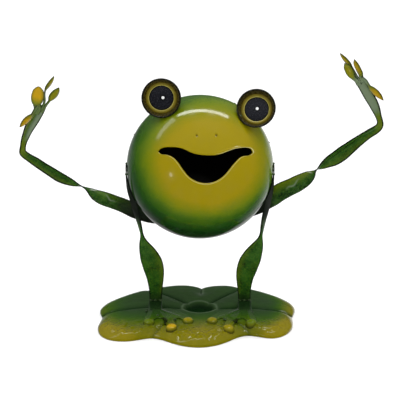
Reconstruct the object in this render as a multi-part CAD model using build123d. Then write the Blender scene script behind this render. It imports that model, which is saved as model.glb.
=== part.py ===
from build123d import *
import os
from math import cos, radians, sin, sqrt

# Garden ornament: a sheet-metal frog with a hollow ball body, cup eyes and twisted strap limbs,
# tack-welded to a pressed lily pad. Millimetres; X to the onlooker's right, Y to the back, Z up.
# The origin is on the floor, straight below the middle of the ball.

# ---- Driving dimensions -------------------------------------------------------------------

SHEET = 1.0                  # thickness of every sheet-metal piece

BALL_RADIUS = 61.8           # the ball seen from the front
BALL_HEIGHT = 135.8          # its middle above the floor
FACE_DEPTH = 46.0            # how far the face dome bulges forward of the seam
BACK_DEPTH = 44.0            # how far the back dome bulges behind it
SEAM_LIP = 3.0               # length of the back dome's lip inside the face dome

# Edge of the smiling mouth, seen square on: (x, height above the ball's middle).
UPPER_LIP = [(-33.0, 23.5), (-25.0, 26.0), (-15.0, 25.6), (-6.0, 22.2), (5.0, 20.6),
             (16.0, 21.0), (26.5, 23.8), (35.5, 24.4), (43.0, 21.0)]
LOWER_LIP = [(41.0, 18.0), (35.0, 17.8), (30.0, 14.6), (26.0, 10.4), (20.5, 4.0), (14.5, -0.4),
             (6.5, -2.6), (-1.5, -1.5), (-9.0, 2.8), (-15.0, 10.0), (-21.0, 17.2), (-28.0, 19.8),
             (-33.0, 20.4)]
RIGHT_CORNER = (43.4, 19.2)
LEFT_CORNER = (-34.4, 21.9)
NOSTRILS = [(-2.6, 35.5), (13.2, 35.5)]
NOSTRIL_PUNCH = 4.0          # radius of the round punch
NOSTRIL_DEPTH = 0.7          # how far it dents the sheet

EYE_RIM_RADIUS = 16.4
EYE_BOWL_DEPTH = 12.0
EYE_LIP_RADIUS = 11.7        # middle line of the dish's rolled lip
EYE_LIP_ROLL = 1.7           # radius of the roll
EYE_LIP_SETBACK = 5.6        # from the bowl's rim plane to the middle of the roll
PUPIL_RADIUS = 9.9
PUPIL_CROWN = 1.0
# Each eye: middle of the bowl's rim, degrees it looks up, degrees it looks towards +X.
EYES = {
    "left": ((-31.6, -22.0, 198.9), 8.0, 0.0),
    "right": ((45.7, -20.4, 190.5), 22.0, -9.0),
}

# Arms: middle line of the strap from the weld behind the ball to the end of the palm.
ARM_ROUTES = {
    "left": {
        "upper": [(-24.0, 17.0, 85.0), (-43.0, 22.0, 86.0), (-75.5, 22.0, 100.2), (-99.5, 17.0, 113.5)],
        "fore": [(-99.5, 17.0, 113.5), (-121.0, 13.0, 124.7), (-148.0, 9.0, 143.6)],
        "palm": [(-150.4, 8.0, 150.5), (-144.6, 6.0, 165.5), (-133.4, 4.0, 187.0)],
    },
    "right": {
        "upper": [(26.0, 17.0, 89.0), (43.5, 22.0, 93.5), (76.2, 22.0, 113.2), (99.0, 17.0, 127.9)],
        "fore": [(99.0, 17.0, 127.9), (123.4, 13.0, 146.4), (151.0, 9.0, 167.0)],
        "palm": [(151.9, 8.0, 173.8), (144.0, 6.0, 190.0), (131.6, 4.0, 211.5)],
    },
}
# Strap widths at even steps along each stretch, and how far the strap is rolled there, in degrees.
UPPER_ARM_WIDTHS = {
    "left": [9.0, 13.5, 13.5, 12.4, 9.0, 4.5],
    "right": [10.0, 16.5, 17.5, 17.8, 16.0, 4.5],
}
UPPER_ARM_ROLLS = [0.0, 0.0, 0.0, 4.0, 25.0, 90.0]
FOREARM_WIDTHS = {
    "left": [4.5, 7.6, 9.2, 8.6, 7.0, 6.2],
    "right": [4.5, 9.0, 12.4, 11.4, 8.8, 6.2],
}
FOREARM_ROLLS = [90.0, 158.0, 176.0, 180.0, 180.0, 180.0]
PALM_WIDTHS = [7.0, 8.2, 10.4, 12.0, 10.4]
PALM_ROLLS = [25.0, 42.0, 52.0, 55.0, 48.0]

# Fingers: where each leaves the palm, as a share of its length and as an offset across it, then
# the middle of the pad, the pad's length and width, and the way that the pad faces.
FINGER_STEM = 2.6            # width of a finger's stem
STEM_INTO_PAD = 0.3          # how far short of the pad's middle the stem ends, of its length
FINGERS = {
    "left": [
        (0.45, -3.4, (-146.0, -2.0, 176.6), 12.5, 10.0, (0.74, -0.35, -0.58)),
        (0.96, -2.0, (-134.4, 1.0, 198.0), 13.0, 9.4, (-0.10, -1.0, 0.05)),
        (0.96, 1.5, (-125.5, 9.0, 205.4), 11.0, 8.0, (0.80, -0.36, -0.45)),
        (0.93, 3.6, (-122.4, 5.0, 196.8), 12.0, 7.8, (0.50, -0.70, -0.45)),
    ],
    "right": [
        (0.45, 3.4, (147.2, -2.0, 199.6), 13.5, 10.0, (-0.76, -0.35, -0.52)),
        (0.96, 2.0, (129.9, 1.5, 219.4), 13.0, 9.0, (-0.78, -0.42, -0.42)),
        (0.96, -1.5, (119.9, 8.0, 226.4), 11.0, 8.0, (-0.74, -0.40, -0.56)),
        (0.93, -3.6, (124.0, 5.0, 218.0), 12.5, 8.0, (-0.45, -0.80, -0.20)),
    ],
}

# Left leg: x, y, z, strap width and roll; the right leg mirrors it, with its knee further out.
LEG_THIGH = [
    (-62.6, 0.0, 138.0, 12.0, 90.0),
    (-61.6, 0.0, 124.0, 13.0, 90.0),
    (-58.6, -0.5, 108.5, 12.0, 90.0),
    (-54.4, -1.5, 93.5, 8.5, 80.0),
    (-49.8, -2.5, 75.5, 4.4, 50.0),
]
LEG_CALF = [
    (-49.8, -2.5, 75.5, 4.4, 50.0),
    (-48.4, -2.5, 68.0, 6.8, 22.0),
    (-44.6, -2.0, 57.5, 14.6, 4.0),
    (-40.8, 0.5, 46.5, 17.8, 0.0),
    (-38.8, 3.0, 34.5, 15.0, 0.0),
    (-38.6, 5.5, 23.5, 11.2, 0.0),
    (-38.8, 7.8, 13.6, 10.6, 0.0),
]
KNEE_LEAN = {"left": 0.0, "right": 1.7}      # how much further out the knee stands
KNEE_LEAN_SPREAD = 46.0                      # how far up and down the leg that lean fades away

# Left foot seen from above: heel, then the web running out to three toes.
FOOT_OUTLINE = [(-44.2, 9.0), (-44.6, -8.0), (-47.8, -33.5), (-42.6, -38.8), (-38.4, -33.0),
                (-32.5, -25.0), (-27.5, -43.5), (-22.5, -47.5), (-19.0, -42.0), (-20.0, -27.0),
                (-12.5, -35.8), (-7.0, -35.0), (-7.6, -29.5), (-21.0, -10.0), (-33.6, -2.0),
                (-33.6, 9.0)]
TOE_PADS = [(-43.2, -34.0), (-23.8, -43.5), (-10.6, -32.6)]
TOE_PAD_RADIUS = 4.3
TOE_PAD_RISE = 2.4
HEEL_TOP = 13.6              # where the leg stands on the raised heel
HEEL_WIDTH = 10.6
HEEL_BACK = 9.0              # y of the heel's back edge
HEEL_FRONT = -9.0            # y where the heel strip has come down to the pad

# Lily pad seen from above: lobes and the dips between them, anticlockwise from the right.
PAD_MIDDLE = (-2.7, 0.0)
PAD_OUTLINE = [(80.2, -2.0), (83.6, 18.0), (70.0, 41.5), (48.0, 59.5), (23.0, 68.5), (2.0, 65.0),
               (-16.0, 69.0), (-36.0, 65.0), (-59.5, 51.5), (-78.0, 33.0), (-87.8, 12.0), (-85.2, -1.0),
               (-86.8, -28.0), (-75.2, -52.5), (-58.0, -54.5), (-40.5, -48.5), (-22.0, -60.5),
               (-1.5, -69.0), (21.0, -58.5), (41.5, -42.5), (60.0, -48.5), (78.6, -26.0)]
PAD_PROFILE = [(0.0, 8.0), (30.0, 9.8), (58.0, 8.4), (96.0, 4.0)]   # radius, height of the top
PAD_ENDS = [(1.0, 0.0), (1.0, -0.14)]                               # its slopes at both ends
GROOVE_RADIUS = 9.0
GROOVE_DEPTH = 1.6
GROOVE_ANGLES = [0.0, 56.0, 88.0, 129.0, 180.0, 232.0, 316.0]
GROOVE_START = 20.0          # radius at which the grooves begin
GROOVE_SLOPE = 3.5           # degrees that they fall towards the rim
GROOVE_LENGTH = 100.0
PAD_CUT_HEIGHT = 30.0        # taller than the pad and the feet's plates
PAD_SPAN = 200.0             # wider than the pad
INSET_STEPS = 66             # points that carry the rim's inner face along its outer one

# Weld tacks.
TACK = 1.3                                            # radius of a tack
SEAM_TACKS = [20.0, 62.0, 106.0, 153.0, 218.0, 289.0]  # degrees round the seam from +X
EYE_TACK_SPREAD = 5.0                                 # each side of where bowl and ball meet
SHOULDER_TACKS = {                                    # across, up from the middle, back
    "left": [(25.0, -50.0, 18.2), (30.0, -45.8, 20.0)],
    "right": [(32.0, -44.4, 20.0), (38.0, -37.7, 21.7)],
}
HIP_TACKS = [(-6.4, 131.0), (6.4, 131.0), (0.0, 138.8)]       # y and height beside the thigh's end
ANKLE_TACKS = [-4.2, 0.0, 4.2]                        # across the front of the leg's end
TOE_TACKS = [(-36.0, -23.5), (-21.0, -33.0), (-32.8, -6.0), (-45.6, -12.0)]  # beside the left foot

BASE = (Align.CENTER, Align.CENTER, Align.MIN)

MIDDLE = Vector(0, 0, BALL_HEIGHT)
SIDES = ("left", "right")


# ---- Helpers ------------------------------------------------------------------------------

def save(name, shapes):
    """Write one node's solids."""
    solids = []
    for shape in shapes if isinstance(shapes, list) else [shapes]:
        solids += shape.solids()
    volume = sum(solid.volume for solid in solids)
    print(f"{name}: {len(solids)} solid(s), {volume:.1f} mm3")
    export_step(solids[0] if len(solids) == 1 else Compound(children=solids), f"parts/{name}.step")


def largest(shape):
    """The biggest solid of a cut shape."""
    return max(shape.solids(), key=lambda solid: solid.volume)


def half_ellipsoid(radius, depth, start_angle):
    """Solid half of an ellipsoid about the Y axis: 270 bulges to the front, 0 to the back."""
    with BuildSketch(Plane.XY) as quarter:
        with BuildLine():
            arc = EllipticalCenterArc((0, 0), radius, depth, start_angle, arc_size=90)
            Polyline(arc @ 1, (0, 0), arc @ 0)
        make_face()
    return Pos(0, 0, BALL_HEIGHT) * revolve(quarter.sketch, Axis.Y, 360)


def value_at(values, share):
    """Value at a share of the way along an evenly stepped list."""
    place = share * (len(values) - 1)
    i = min(int(place), len(values) - 2)
    return values[i] + (values[i + 1] - values[i]) * (place - i)


def strap_across(tangent, roll):
    """Direction of a strap's width; roll 0 turns it square to the onlooker."""
    along = Vector(*tangent).normalized()
    across = along.cross(Vector(0, 1, 0)).normalized()
    return across.rotate(Axis((0, 0, 0), along), roll)


def strap_section(centre, tangent, width, roll):
    """Cross-section of a strap."""
    plane = Plane(origin=centre, x_dir=strap_across(tangent, roll), z_dir=tangent)
    return plane * Rectangle(width, SHEET)


def strap(route, widths, rolls):
    """Strap along a smooth route, with its width and roll given at even steps."""
    path = Spline(*[Vector(*point) for point in route])
    last = len(widths) - 1
    sections = []
    for i, (width, roll) in enumerate(zip(widths, rolls)):
        sections.append(strap_section(path @ (i / last), path % (i / last), width, roll))
    return loft(sections)


def strap_through(stations):
    """Strap through stations of x, y, z, width and roll."""
    points = [Vector(*station[:3]) for station in stations]
    sections = []
    for i, station in enumerate(stations):
        before = points[max(i - 1, 0)]
        after = points[min(i + 1, len(points) - 1)]
        sections.append(strap_section(points[i], after - before, station[3], station[4]))
    return loft(sections)


def pad_surface(lift):
    """Solid under the lily pad's domed top, raised or sunk by lift."""
    points = [(radius, height + lift) for radius, height in PAD_PROFILE]
    floor = -3 * SHEET
    with BuildSketch(Plane.XZ) as half:
        with BuildLine():
            Spline(*points, tangents=PAD_ENDS)
            Polyline(points[-1], (points[-1][0], floor), (0, floor), points[0])
        make_face()
    return Pos(*PAD_MIDDLE, 0) * revolve(half.sketch, Axis.Z, 360)


def tacks(points, cut_by):
    """Weld tacks at some points, each cut back to the sheets that it joins, as a list."""
    beads = []
    for point in points:
        bead = Pos(*point) * Sphere(TACK)
        for shape in cut_by:
            bead = bead - shape
        beads.append(largest(bead))
    return beads


def on_ball(x, up, back):
    """Point on the ball in the direction (x, up) from its middle, at a depth behind the seam."""
    depth = BACK_DEPTH if back > 0 else FACE_DEPTH
    radius = BALL_RADIUS - SHEET if back > 0 else BALL_RADIUS
    reach = radius * sqrt(1 - (back / depth) ** 2)
    size = sqrt(x * x + up * up)
    return Vector(x / size * reach, back, BALL_HEIGHT + up / size * reach)


# ---- Ball ---------------------------------------------------------------------------------

def make_ball():
    """Face dome, back dome and the solid that they wrap."""
    face_outer = half_ellipsoid(BALL_RADIUS, FACE_DEPTH, 270)
    face_inner = half_ellipsoid(BALL_RADIUS - SHEET, FACE_DEPTH - SHEET, 270)
    back_radius = BALL_RADIUS - SHEET
    back_outer = half_ellipsoid(back_radius, BACK_DEPTH, 0)
    back_inner = half_ellipsoid(back_radius - SHEET, BACK_DEPTH - SHEET, 0)

    with BuildSketch(Plane.XZ) as mouth:
        with BuildLine():
            Spline(*UPPER_LIP)
            Spline(*LOWER_LIP)
            ThreePointArc(UPPER_LIP[-1], RIGHT_CORNER, LOWER_LIP[0])
            ThreePointArc(LOWER_LIP[-1], LEFT_CORNER, UPPER_LIP[0])
        make_face()
    mouth_cut = Pos(0, 0, BALL_HEIGHT) * extrude(mouth.sketch, FACE_DEPTH * 1.5)
    face = face_outer - face_inner - mouth_cut
    for x, up in NOSTRILS:
        back = -FACE_DEPTH * sqrt(1 - (x * x + up * up) / BALL_RADIUS ** 2)
        outward = Vector(x / BALL_RADIUS ** 2, back / FACE_DEPTH ** 2, up / BALL_RADIUS ** 2)
        spot = MIDDLE + Vector(x, back, up) + outward.normalized() * (NOSTRIL_PUNCH - NOSTRIL_DEPTH)
        face = face - Pos(*spot) * Sphere(NOSTRIL_PUNCH)

    lip = Cylinder(back_radius, SEAM_LIP) - Cylinder(back_radius - SHEET, SEAM_LIP)
    lip = Pos(0, -SEAM_LIP / 2, BALL_HEIGHT) * Rot(90, 0, 0) * lip
    back = (back_outer - back_inner) + (lip & face_inner)
    return face, back, face_outer + back_outer


# ---- Eyes: a bowl, a dish with a rolled lip in it, and a domed disc in the dish -------------

def eye_plane(side):
    """Plane of the bowl's rim, with its normal pointing the way the eye looks."""
    middle, up, turn = EYES[side]
    gaze = Vector(sin(radians(turn)), -cos(radians(turn)) * cos(radians(up)), sin(radians(up)))
    return Plane(origin=middle, z_dir=gaze)


def bowl_fill(inset):
    """Solid that fills a round bowl, rim on the XY plane and floor below it, inside by inset."""
    radius = (EYE_RIM_RADIUS ** 2 + EYE_BOWL_DEPTH ** 2) / (2 * EYE_BOWL_DEPTH)
    below = Pos(0, 0, -radius) * Box(4 * radius, 4 * radius, 2 * radius)
    return (Pos(0, 0, radius - EYE_BOWL_DEPTH) * Sphere(radius - inset)) & below


def make_eye(side, ball):
    """Bowl, dish and pupil of one eye."""
    place = eye_plane(side)
    hollow = bowl_fill(SHEET)
    bowl = largest(place * (bowl_fill(0) - hollow) - ball)

    roll = Pos(0, 0, -EYE_LIP_SETBACK) * Torus(EYE_LIP_RADIUS, EYE_LIP_ROLL)
    floor_top = -EYE_LIP_SETBACK - EYE_LIP_ROLL / 2
    floor = Pos(0, 0, floor_top - SHEET / 2) * Cylinder(EYE_LIP_RADIUS, SHEET)
    dish = place * ((roll + floor) & hollow)

    pupil_floor = Pos(0, 0, floor_top) * Cylinder(PUPIL_RADIUS, 3 * SHEET, align=BASE)
    crown_radius = (PUPIL_RADIUS ** 2 + PUPIL_CROWN ** 2) / (2 * PUPIL_CROWN)
    crown_top = floor_top + SHEET + PUPIL_CROWN
    pupil = pupil_floor & Pos(0, 0, crown_top - crown_radius) * Sphere(crown_radius)
    return bowl, dish, place * pupil - dish


# ---- Limbs --------------------------------------------------------------------------------

def make_finger(hand, share, offset, pad, length, width, facing):
    """One finger: a narrow stem from the palm and a spade-shaped pad."""
    across = strap_across(hand % share, value_at(PALM_ROLLS, share))
    start = (hand @ share) + across * offset
    middle = Vector(*pad)
    normal = Vector(*facing).normalized()
    along = (middle - start).normalized()
    along = (along - normal * along.dot(normal)).normalized()
    blade = Plane(origin=middle, x_dir=along, z_dir=normal)
    blade = blade * extrude(Ellipse(length / 2, width / 2), SHEET / 2, both=True)
    heel = middle - along * (length * STEM_INTO_PAD)
    run = (heel - start).normalized()
    start = start - run * SHEET
    sections = []
    for point in (start, heel):
        plane = Plane(origin=point, x_dir=normal.cross(run), z_dir=run)
        sections.append(plane * Rectangle(FINGER_STEM, SHEET))
    return blade + loft(sections)


def make_arm(side, ball):
    """One arm: upper arm, twisted neck, forearm, wrist, palm and fingers, all one sheet."""
    route = ARM_ROUTES[side]
    arm = strap(route["upper"], UPPER_ARM_WIDTHS[side], UPPER_ARM_ROLLS) - ball
    arm = largest(arm) + strap(route["fore"], FOREARM_WIDTHS[side], FOREARM_ROLLS)
    palm = strap(route["palm"], PALM_WIDTHS, PALM_ROLLS)
    fore = Spline(*[Vector(*point) for point in route["fore"]])
    hand = Spline(*[Vector(*point) for point in route["palm"]])
    wrist = loft([
        strap_section(fore @ 1, fore % 1, FOREARM_WIDTHS[side][-1], 0),
        strap_section(hand @ 0, hand % 0, PALM_WIDTHS[0], PALM_ROLLS[0]),
    ])
    arm = arm + wrist + palm
    for finger in FINGERS[side]:
        arm = arm + make_finger(hand, *finger)
    return arm


def lean(stations, amount):
    """Stations of a leg whose knee is moved outwards."""
    moved = []
    for x, y, z, width, roll in stations:
        share = max(0.0, 1 - abs(z - LEG_CALF[0][2]) / KNEE_LEAN_SPREAD)
        moved.append((x - amount * share, y, z, width, roll))
    return moved


def make_leg(side, ball):
    """One leg: thigh edge-on, quarter twist at the knee, leaf-shaped calf."""
    thigh = strap_through(lean(LEG_THIGH, KNEE_LEAN[side]))
    leg = largest(thigh - ball) + strap_through(lean(LEG_CALF, KNEE_LEAN[side]))
    return leg if side == "left" else mirror(leg, Plane.YZ)


def make_foot(pad_top):
    """Left foot: a webbed plate that follows the pad, domed toe pads and a raised heel strip."""
    with BuildSketch(Plane.XY) as web:
        with BuildLine():
            Spline(*FOOT_OUTLINE[1:-1])
            Polyline(FOOT_OUTLINE[-2], FOOT_OUTLINE[-1], FOOT_OUTLINE[0], FOOT_OUTLINE[1])
        make_face()
    layer = pad_surface(SHEET) - pad_surface(0)
    front = Pos(0, HEEL_FRONT - PAD_SPAN / 2, 0) * Box(PAD_SPAN, PAD_SPAN, PAD_SPAN)
    plate = layer & extrude(web.sketch, PAD_CUT_HEIGHT) & front
    for x, y in TOE_PADS:
        radius = (TOE_PAD_RADIUS ** 2 + TOE_PAD_RISE ** 2) / (2 * TOE_PAD_RISE)
        base = pad_height(x, y) + SHEET / 2
        cap = Pos(x, y, base + TOE_PAD_RISE - radius) * Sphere(radius)
        cap = cap & Pos(x, y, base - SHEET) * Cylinder(TOE_PAD_RADIUS, PAD_CUT_HEIGHT, align=BASE)
        plate = plate + (cap - pad_top)
    x = (FOOT_OUTLINE[0][0] + FOOT_OUTLINE[-1][0]) / 2
    low = pad_height(x, HEEL_FRONT) + SHEET / 2
    steps = [(HEEL_BACK, HEEL_TOP - SHEET / 2), (0, (HEEL_TOP + low) / 2), (HEEL_FRONT - 2 * SHEET, low)]
    sections = []
    for y, z in steps:
        plane = Plane(origin=(x, y, z), x_dir=(1, 0, 0), z_dir=(0, 1, 0))
        sections.append(plane * Rectangle(HEEL_WIDTH, SHEET))
    return plate + (loft(sections) - pad_top)


# ---- Lily pad -----------------------------------------------------------------------------

def pad_height(x, y):
    """Height of the pad's domed top, read from its profile curve."""
    curve = Spline(*PAD_PROFILE, tangents=PAD_ENDS)
    reach = sqrt((x - PAD_MIDDLE[0]) ** 2 + (y - PAD_MIDDLE[1]) ** 2)
    wall = Line((reach, 0), (reach, PAD_CUT_HEIGHT))
    return curve.intersect(wall)[0].Y


def make_pad():
    """Pressed leaf: a domed top with radial grooves and a turned-down rim cut level with the floor."""
    with BuildSketch(Plane.XY) as leaf:
        with BuildLine():
            Spline(*PAD_OUTLINE, periodic=True)
        make_face()
    edge = leaf.sketch.edges()[0]
    inset = []
    for i in range(INSET_STEPS):
        tangent = edge % (i / INSET_STEPS)
        inset.append((edge @ (i / INSET_STEPS)) + Vector(-tangent.Y, tangent.X) * SHEET)
    with BuildSketch(Plane.XY) as hollow:
        with BuildLine():
            Spline(*inset, periodic=True)
        make_face()
    outer = pad_surface(0) & extrude(leaf.sketch, PAD_CUT_HEIGHT)
    inner = pad_surface(-SHEET) & extrude(hollow.sketch, PAD_CUT_HEIGHT)
    for angle in GROOVE_ANGLES:
        cut = Cylinder(GROOVE_RADIUS, GROOVE_LENGTH, align=BASE)
        under = Cylinder(GROOVE_RADIUS + SHEET, GROOVE_LENGTH, align=BASE)
        place = Pos(*PAD_MIDDLE, PAD_PROFILE[1][1] + GROOVE_RADIUS - GROOVE_DEPTH) * Rot(0, 0, angle)
        place = place * Pos(GROOVE_START, 0, 0) * Rot(0, 90 + GROOVE_SLOPE, 0)
        outer = outer - place * cut
        inner = inner - place * under
    return outer - inner


# ---- Weld tacks ---------------------------------------------------------------------------

def eye_weld_points(side):
    """Two points on the ball, each side of where the bowl rests on it."""
    middle = Vector(*EYES[side][0]) - MIDDLE
    way = Vector(middle.X, 0, middle.Z).normalized()
    back = middle.Y + EYE_BOWL_DEPTH / 3
    points = []
    for spread in (-EYE_TACK_SPREAD, EYE_TACK_SPREAD):
        x = way.X * BALL_RADIUS + way.Z * spread
        up = way.Z * BALL_RADIUS - way.X * spread
        points.append(on_ball(x, up, back))
    return points


def make_tacks(face, back, ball, bowls, arms, legs, feet, pad):
    """Write each group of weld tacks."""
    seam = [on_ball(cos(radians(angle)), sin(radians(angle)), 0.5) for angle in SEAM_TACKS]
    save("seam_tacks", tacks(seam, [face, back]))

    eye, shoulder, hip, ankle, toe = [], [], [], [], []
    for side, sign in zip(SIDES, (1, -1)):
        eye += tacks(eye_weld_points(side), [bowls[side], ball])
        points = [on_ball(-sign * across, up, back) for across, up, back in SHOULDER_TACKS[side]]
        shoulder += tacks(points, [ball, arms[side]])
        thigh = LEG_THIGH[0]
        points = [(sign * (thigh[0] + TACK / 2), y, z) for y, z in HIP_TACKS]
        hip += tacks(points, [ball, legs[side]])
        shin = LEG_CALF[-1]
        points = [(sign * shin[0] + across, shin[1] - SHEET / 2, HEEL_TOP) for across in ANKLE_TACKS]
        ankle += tacks(points, [legs[side], feet[side]])
        points = [(sign * x, y, pad_height(sign * x, y) + SHEET / 2) for x, y in TOE_TACKS]
        toe += tacks(points, [feet[side], pad])
    save("eye_tacks", eye)
    save("shoulder_tacks", shoulder)
    save("hip_tacks", hip)
    save("ankle_tacks", ankle)
    save("toe_tacks", toe)


# ---- Assembly -----------------------------------------------------------------------------

def main():
    os.makedirs("parts", exist_ok=True)
    face, back, ball = make_ball()
    save("face_dome", face)
    save("back_dome", back)

    bowls = {}
    for side in SIDES:
        bowls[side], dish, pupil = make_eye(side, ball)
        save(f"{side}_eye_cup", bowls[side])
        save(f"{side}_eye_dish", dish)
        save(f"{side}_pupil", pupil)

    arms = {}
    for side in SIDES:
        arms[side] = make_arm(side, ball)
        save(f"{side}_arm", arms[side])

    pad = make_pad()
    save("lily_pad", pad)
    pad_top = pad_surface(0)
    legs = {side: make_leg(side, ball) for side in SIDES}
    feet = {"left": make_foot(pad_top)}
    feet["right"] = largest(mirror(feet["left"], Plane.YZ) - pad_top)
    for side in SIDES:
        save(f"{side}_leg", legs[side])
        save(f"{side}_foot", feet[side])

    make_tacks(face, back, ball, bowls, arms, legs, feet, pad)


main()
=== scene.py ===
"""Visual model of the sheet-metal frog ornament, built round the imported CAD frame.

Every piece is a sheet-metal mesh made from a grid of points on its own surface, thickened to the
sheet's thickness, with rounded cut edges. Shapes are worked out in millimetres in the row frame.
"""

import math

import bmesh
import bpy
import numpy as np
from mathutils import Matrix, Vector, noise


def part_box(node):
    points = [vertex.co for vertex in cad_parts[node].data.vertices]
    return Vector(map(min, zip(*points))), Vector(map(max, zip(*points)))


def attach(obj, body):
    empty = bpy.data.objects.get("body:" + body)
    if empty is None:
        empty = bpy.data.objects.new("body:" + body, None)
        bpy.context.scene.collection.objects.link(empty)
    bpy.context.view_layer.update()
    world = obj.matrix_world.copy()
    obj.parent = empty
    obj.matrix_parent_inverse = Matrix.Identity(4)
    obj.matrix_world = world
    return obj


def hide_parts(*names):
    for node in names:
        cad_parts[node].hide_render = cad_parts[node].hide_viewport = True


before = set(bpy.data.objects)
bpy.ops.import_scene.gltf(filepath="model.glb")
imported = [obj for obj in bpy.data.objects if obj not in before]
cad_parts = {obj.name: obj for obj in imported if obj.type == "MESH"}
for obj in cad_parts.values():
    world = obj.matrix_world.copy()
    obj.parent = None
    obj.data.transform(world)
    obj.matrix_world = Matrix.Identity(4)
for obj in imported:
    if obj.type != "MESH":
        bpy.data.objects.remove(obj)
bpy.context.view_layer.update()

MM = 0.001
SHEET = 1.0                      # thickness of the sheet metal, mm


def box_mm(node):
    """Lowest and highest corner of a CAD node, in mm."""
    low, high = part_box(node)
    return np.array(low) / MM, np.array(high) / MM


FACE_LOW, FACE_HIGH = box_mm("face_dome")
BACK_LOW, BACK_HIGH = box_mm("back_dome")
BALL = np.array([0.0, 0.0, (FACE_LOW[2] + FACE_HIGH[2]) / 2])
RADIUS = (FACE_HIGH[0] - FACE_LOW[0]) / 2
FACE_DEPTH = -FACE_LOW[1]
BACK_DEPTH = BACK_HIGH[1]
BALL_GAP = 0.02                  # clearance between the ball and what leans on it, mm


# ---- Curves and grids ---------------------------------------------------------------------

FINE_STEPS = 40                  # fine points between two stations of a curve


def smoothstep(low, high, value):
    """Smooth change from 0 at low to 1 at high; low may be above high."""
    share = np.clip((value - low) / (high - low), 0, 1)
    return share * share * (3 - 2 * share)


def bump_at(offset, width):
    """Rounded bump, 1 where the offset is 0."""
    return np.exp(-((offset / width) ** 2))


def spline(stations, count, closed=False):
    """Rows evenly spaced along the smooth curve through some stations: x, y, z and any values."""
    points = np.array(stations, float)
    if closed:
        points = np.vstack([points[-3:], points, points[:4]])
    t = np.concatenate([[0], np.cumsum(np.linalg.norm(np.diff(points[:, :3], axis=0), axis=1))])
    h = np.diff(t)
    n = len(points)
    a = np.eye(n)
    b = np.zeros_like(points)
    slope = np.diff(points, axis=0) / h[:, None]
    for i in range(1, n - 1):
        a[i, i - 1 : i + 2] = [h[i - 1], 2 * (h[i - 1] + h[i]), h[i]]
        b[i] = 6 * (slope[i] - slope[i - 1])
    m = np.linalg.solve(a, b)
    first, last = (3, n - 4) if closed else (0, n - 1)
    rows = []
    for i in range(first, last):
        u = np.linspace(0, 1, FINE_STEPS, endpoint=False)[:, None]
        rows.append(
            (1 - u) * points[i]
            + u * points[i + 1]
            + h[i] ** 2 / 6 * (((1 - u) ** 3 - (1 - u)) * m[i] + (u**3 - u) * m[i + 1])
        )
    rows.append(points[last][None])
    dense = np.vstack(rows)
    s = np.concatenate([[0], np.cumsum(np.linalg.norm(np.diff(dense[:, :3], axis=0), axis=1))])
    where = np.linspace(0, s[-1], count + 1)[:-1] if closed else np.linspace(0, s[-1], count)
    return np.stack([np.interp(where, s, dense[:, k]) for k in range(dense.shape[1])], 1)


def unit(v):
    """Vectors scaled to a length of 1."""
    return v / np.maximum(np.linalg.norm(v, axis=-1, keepdims=True), 1e-12)


def turned(v, axis, angle):
    """Vectors turned about unit axes by angles in radians."""
    c, s = np.cos(angle)[..., None], np.sin(angle)[..., None]
    along = np.sum(axis * v, -1, keepdims=True)
    return v * c + np.cross(axis, v) * s + axis * along * (1 - c)


def grid_normals(grid, wrap):
    """Unit normals of a grid of points; wrap joins the last column to the first."""
    if wrap:
        across = np.roll(grid, -1, 1) - np.roll(grid, 1, 1)
    else:
        across = np.gradient(grid, axis=1)
    return unit(np.cross(np.gradient(grid, axis=0), across))


ROUND = np.radians([30, 60, 90, 120, 150])    # steps round a cut edge, from one face to the other


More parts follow.
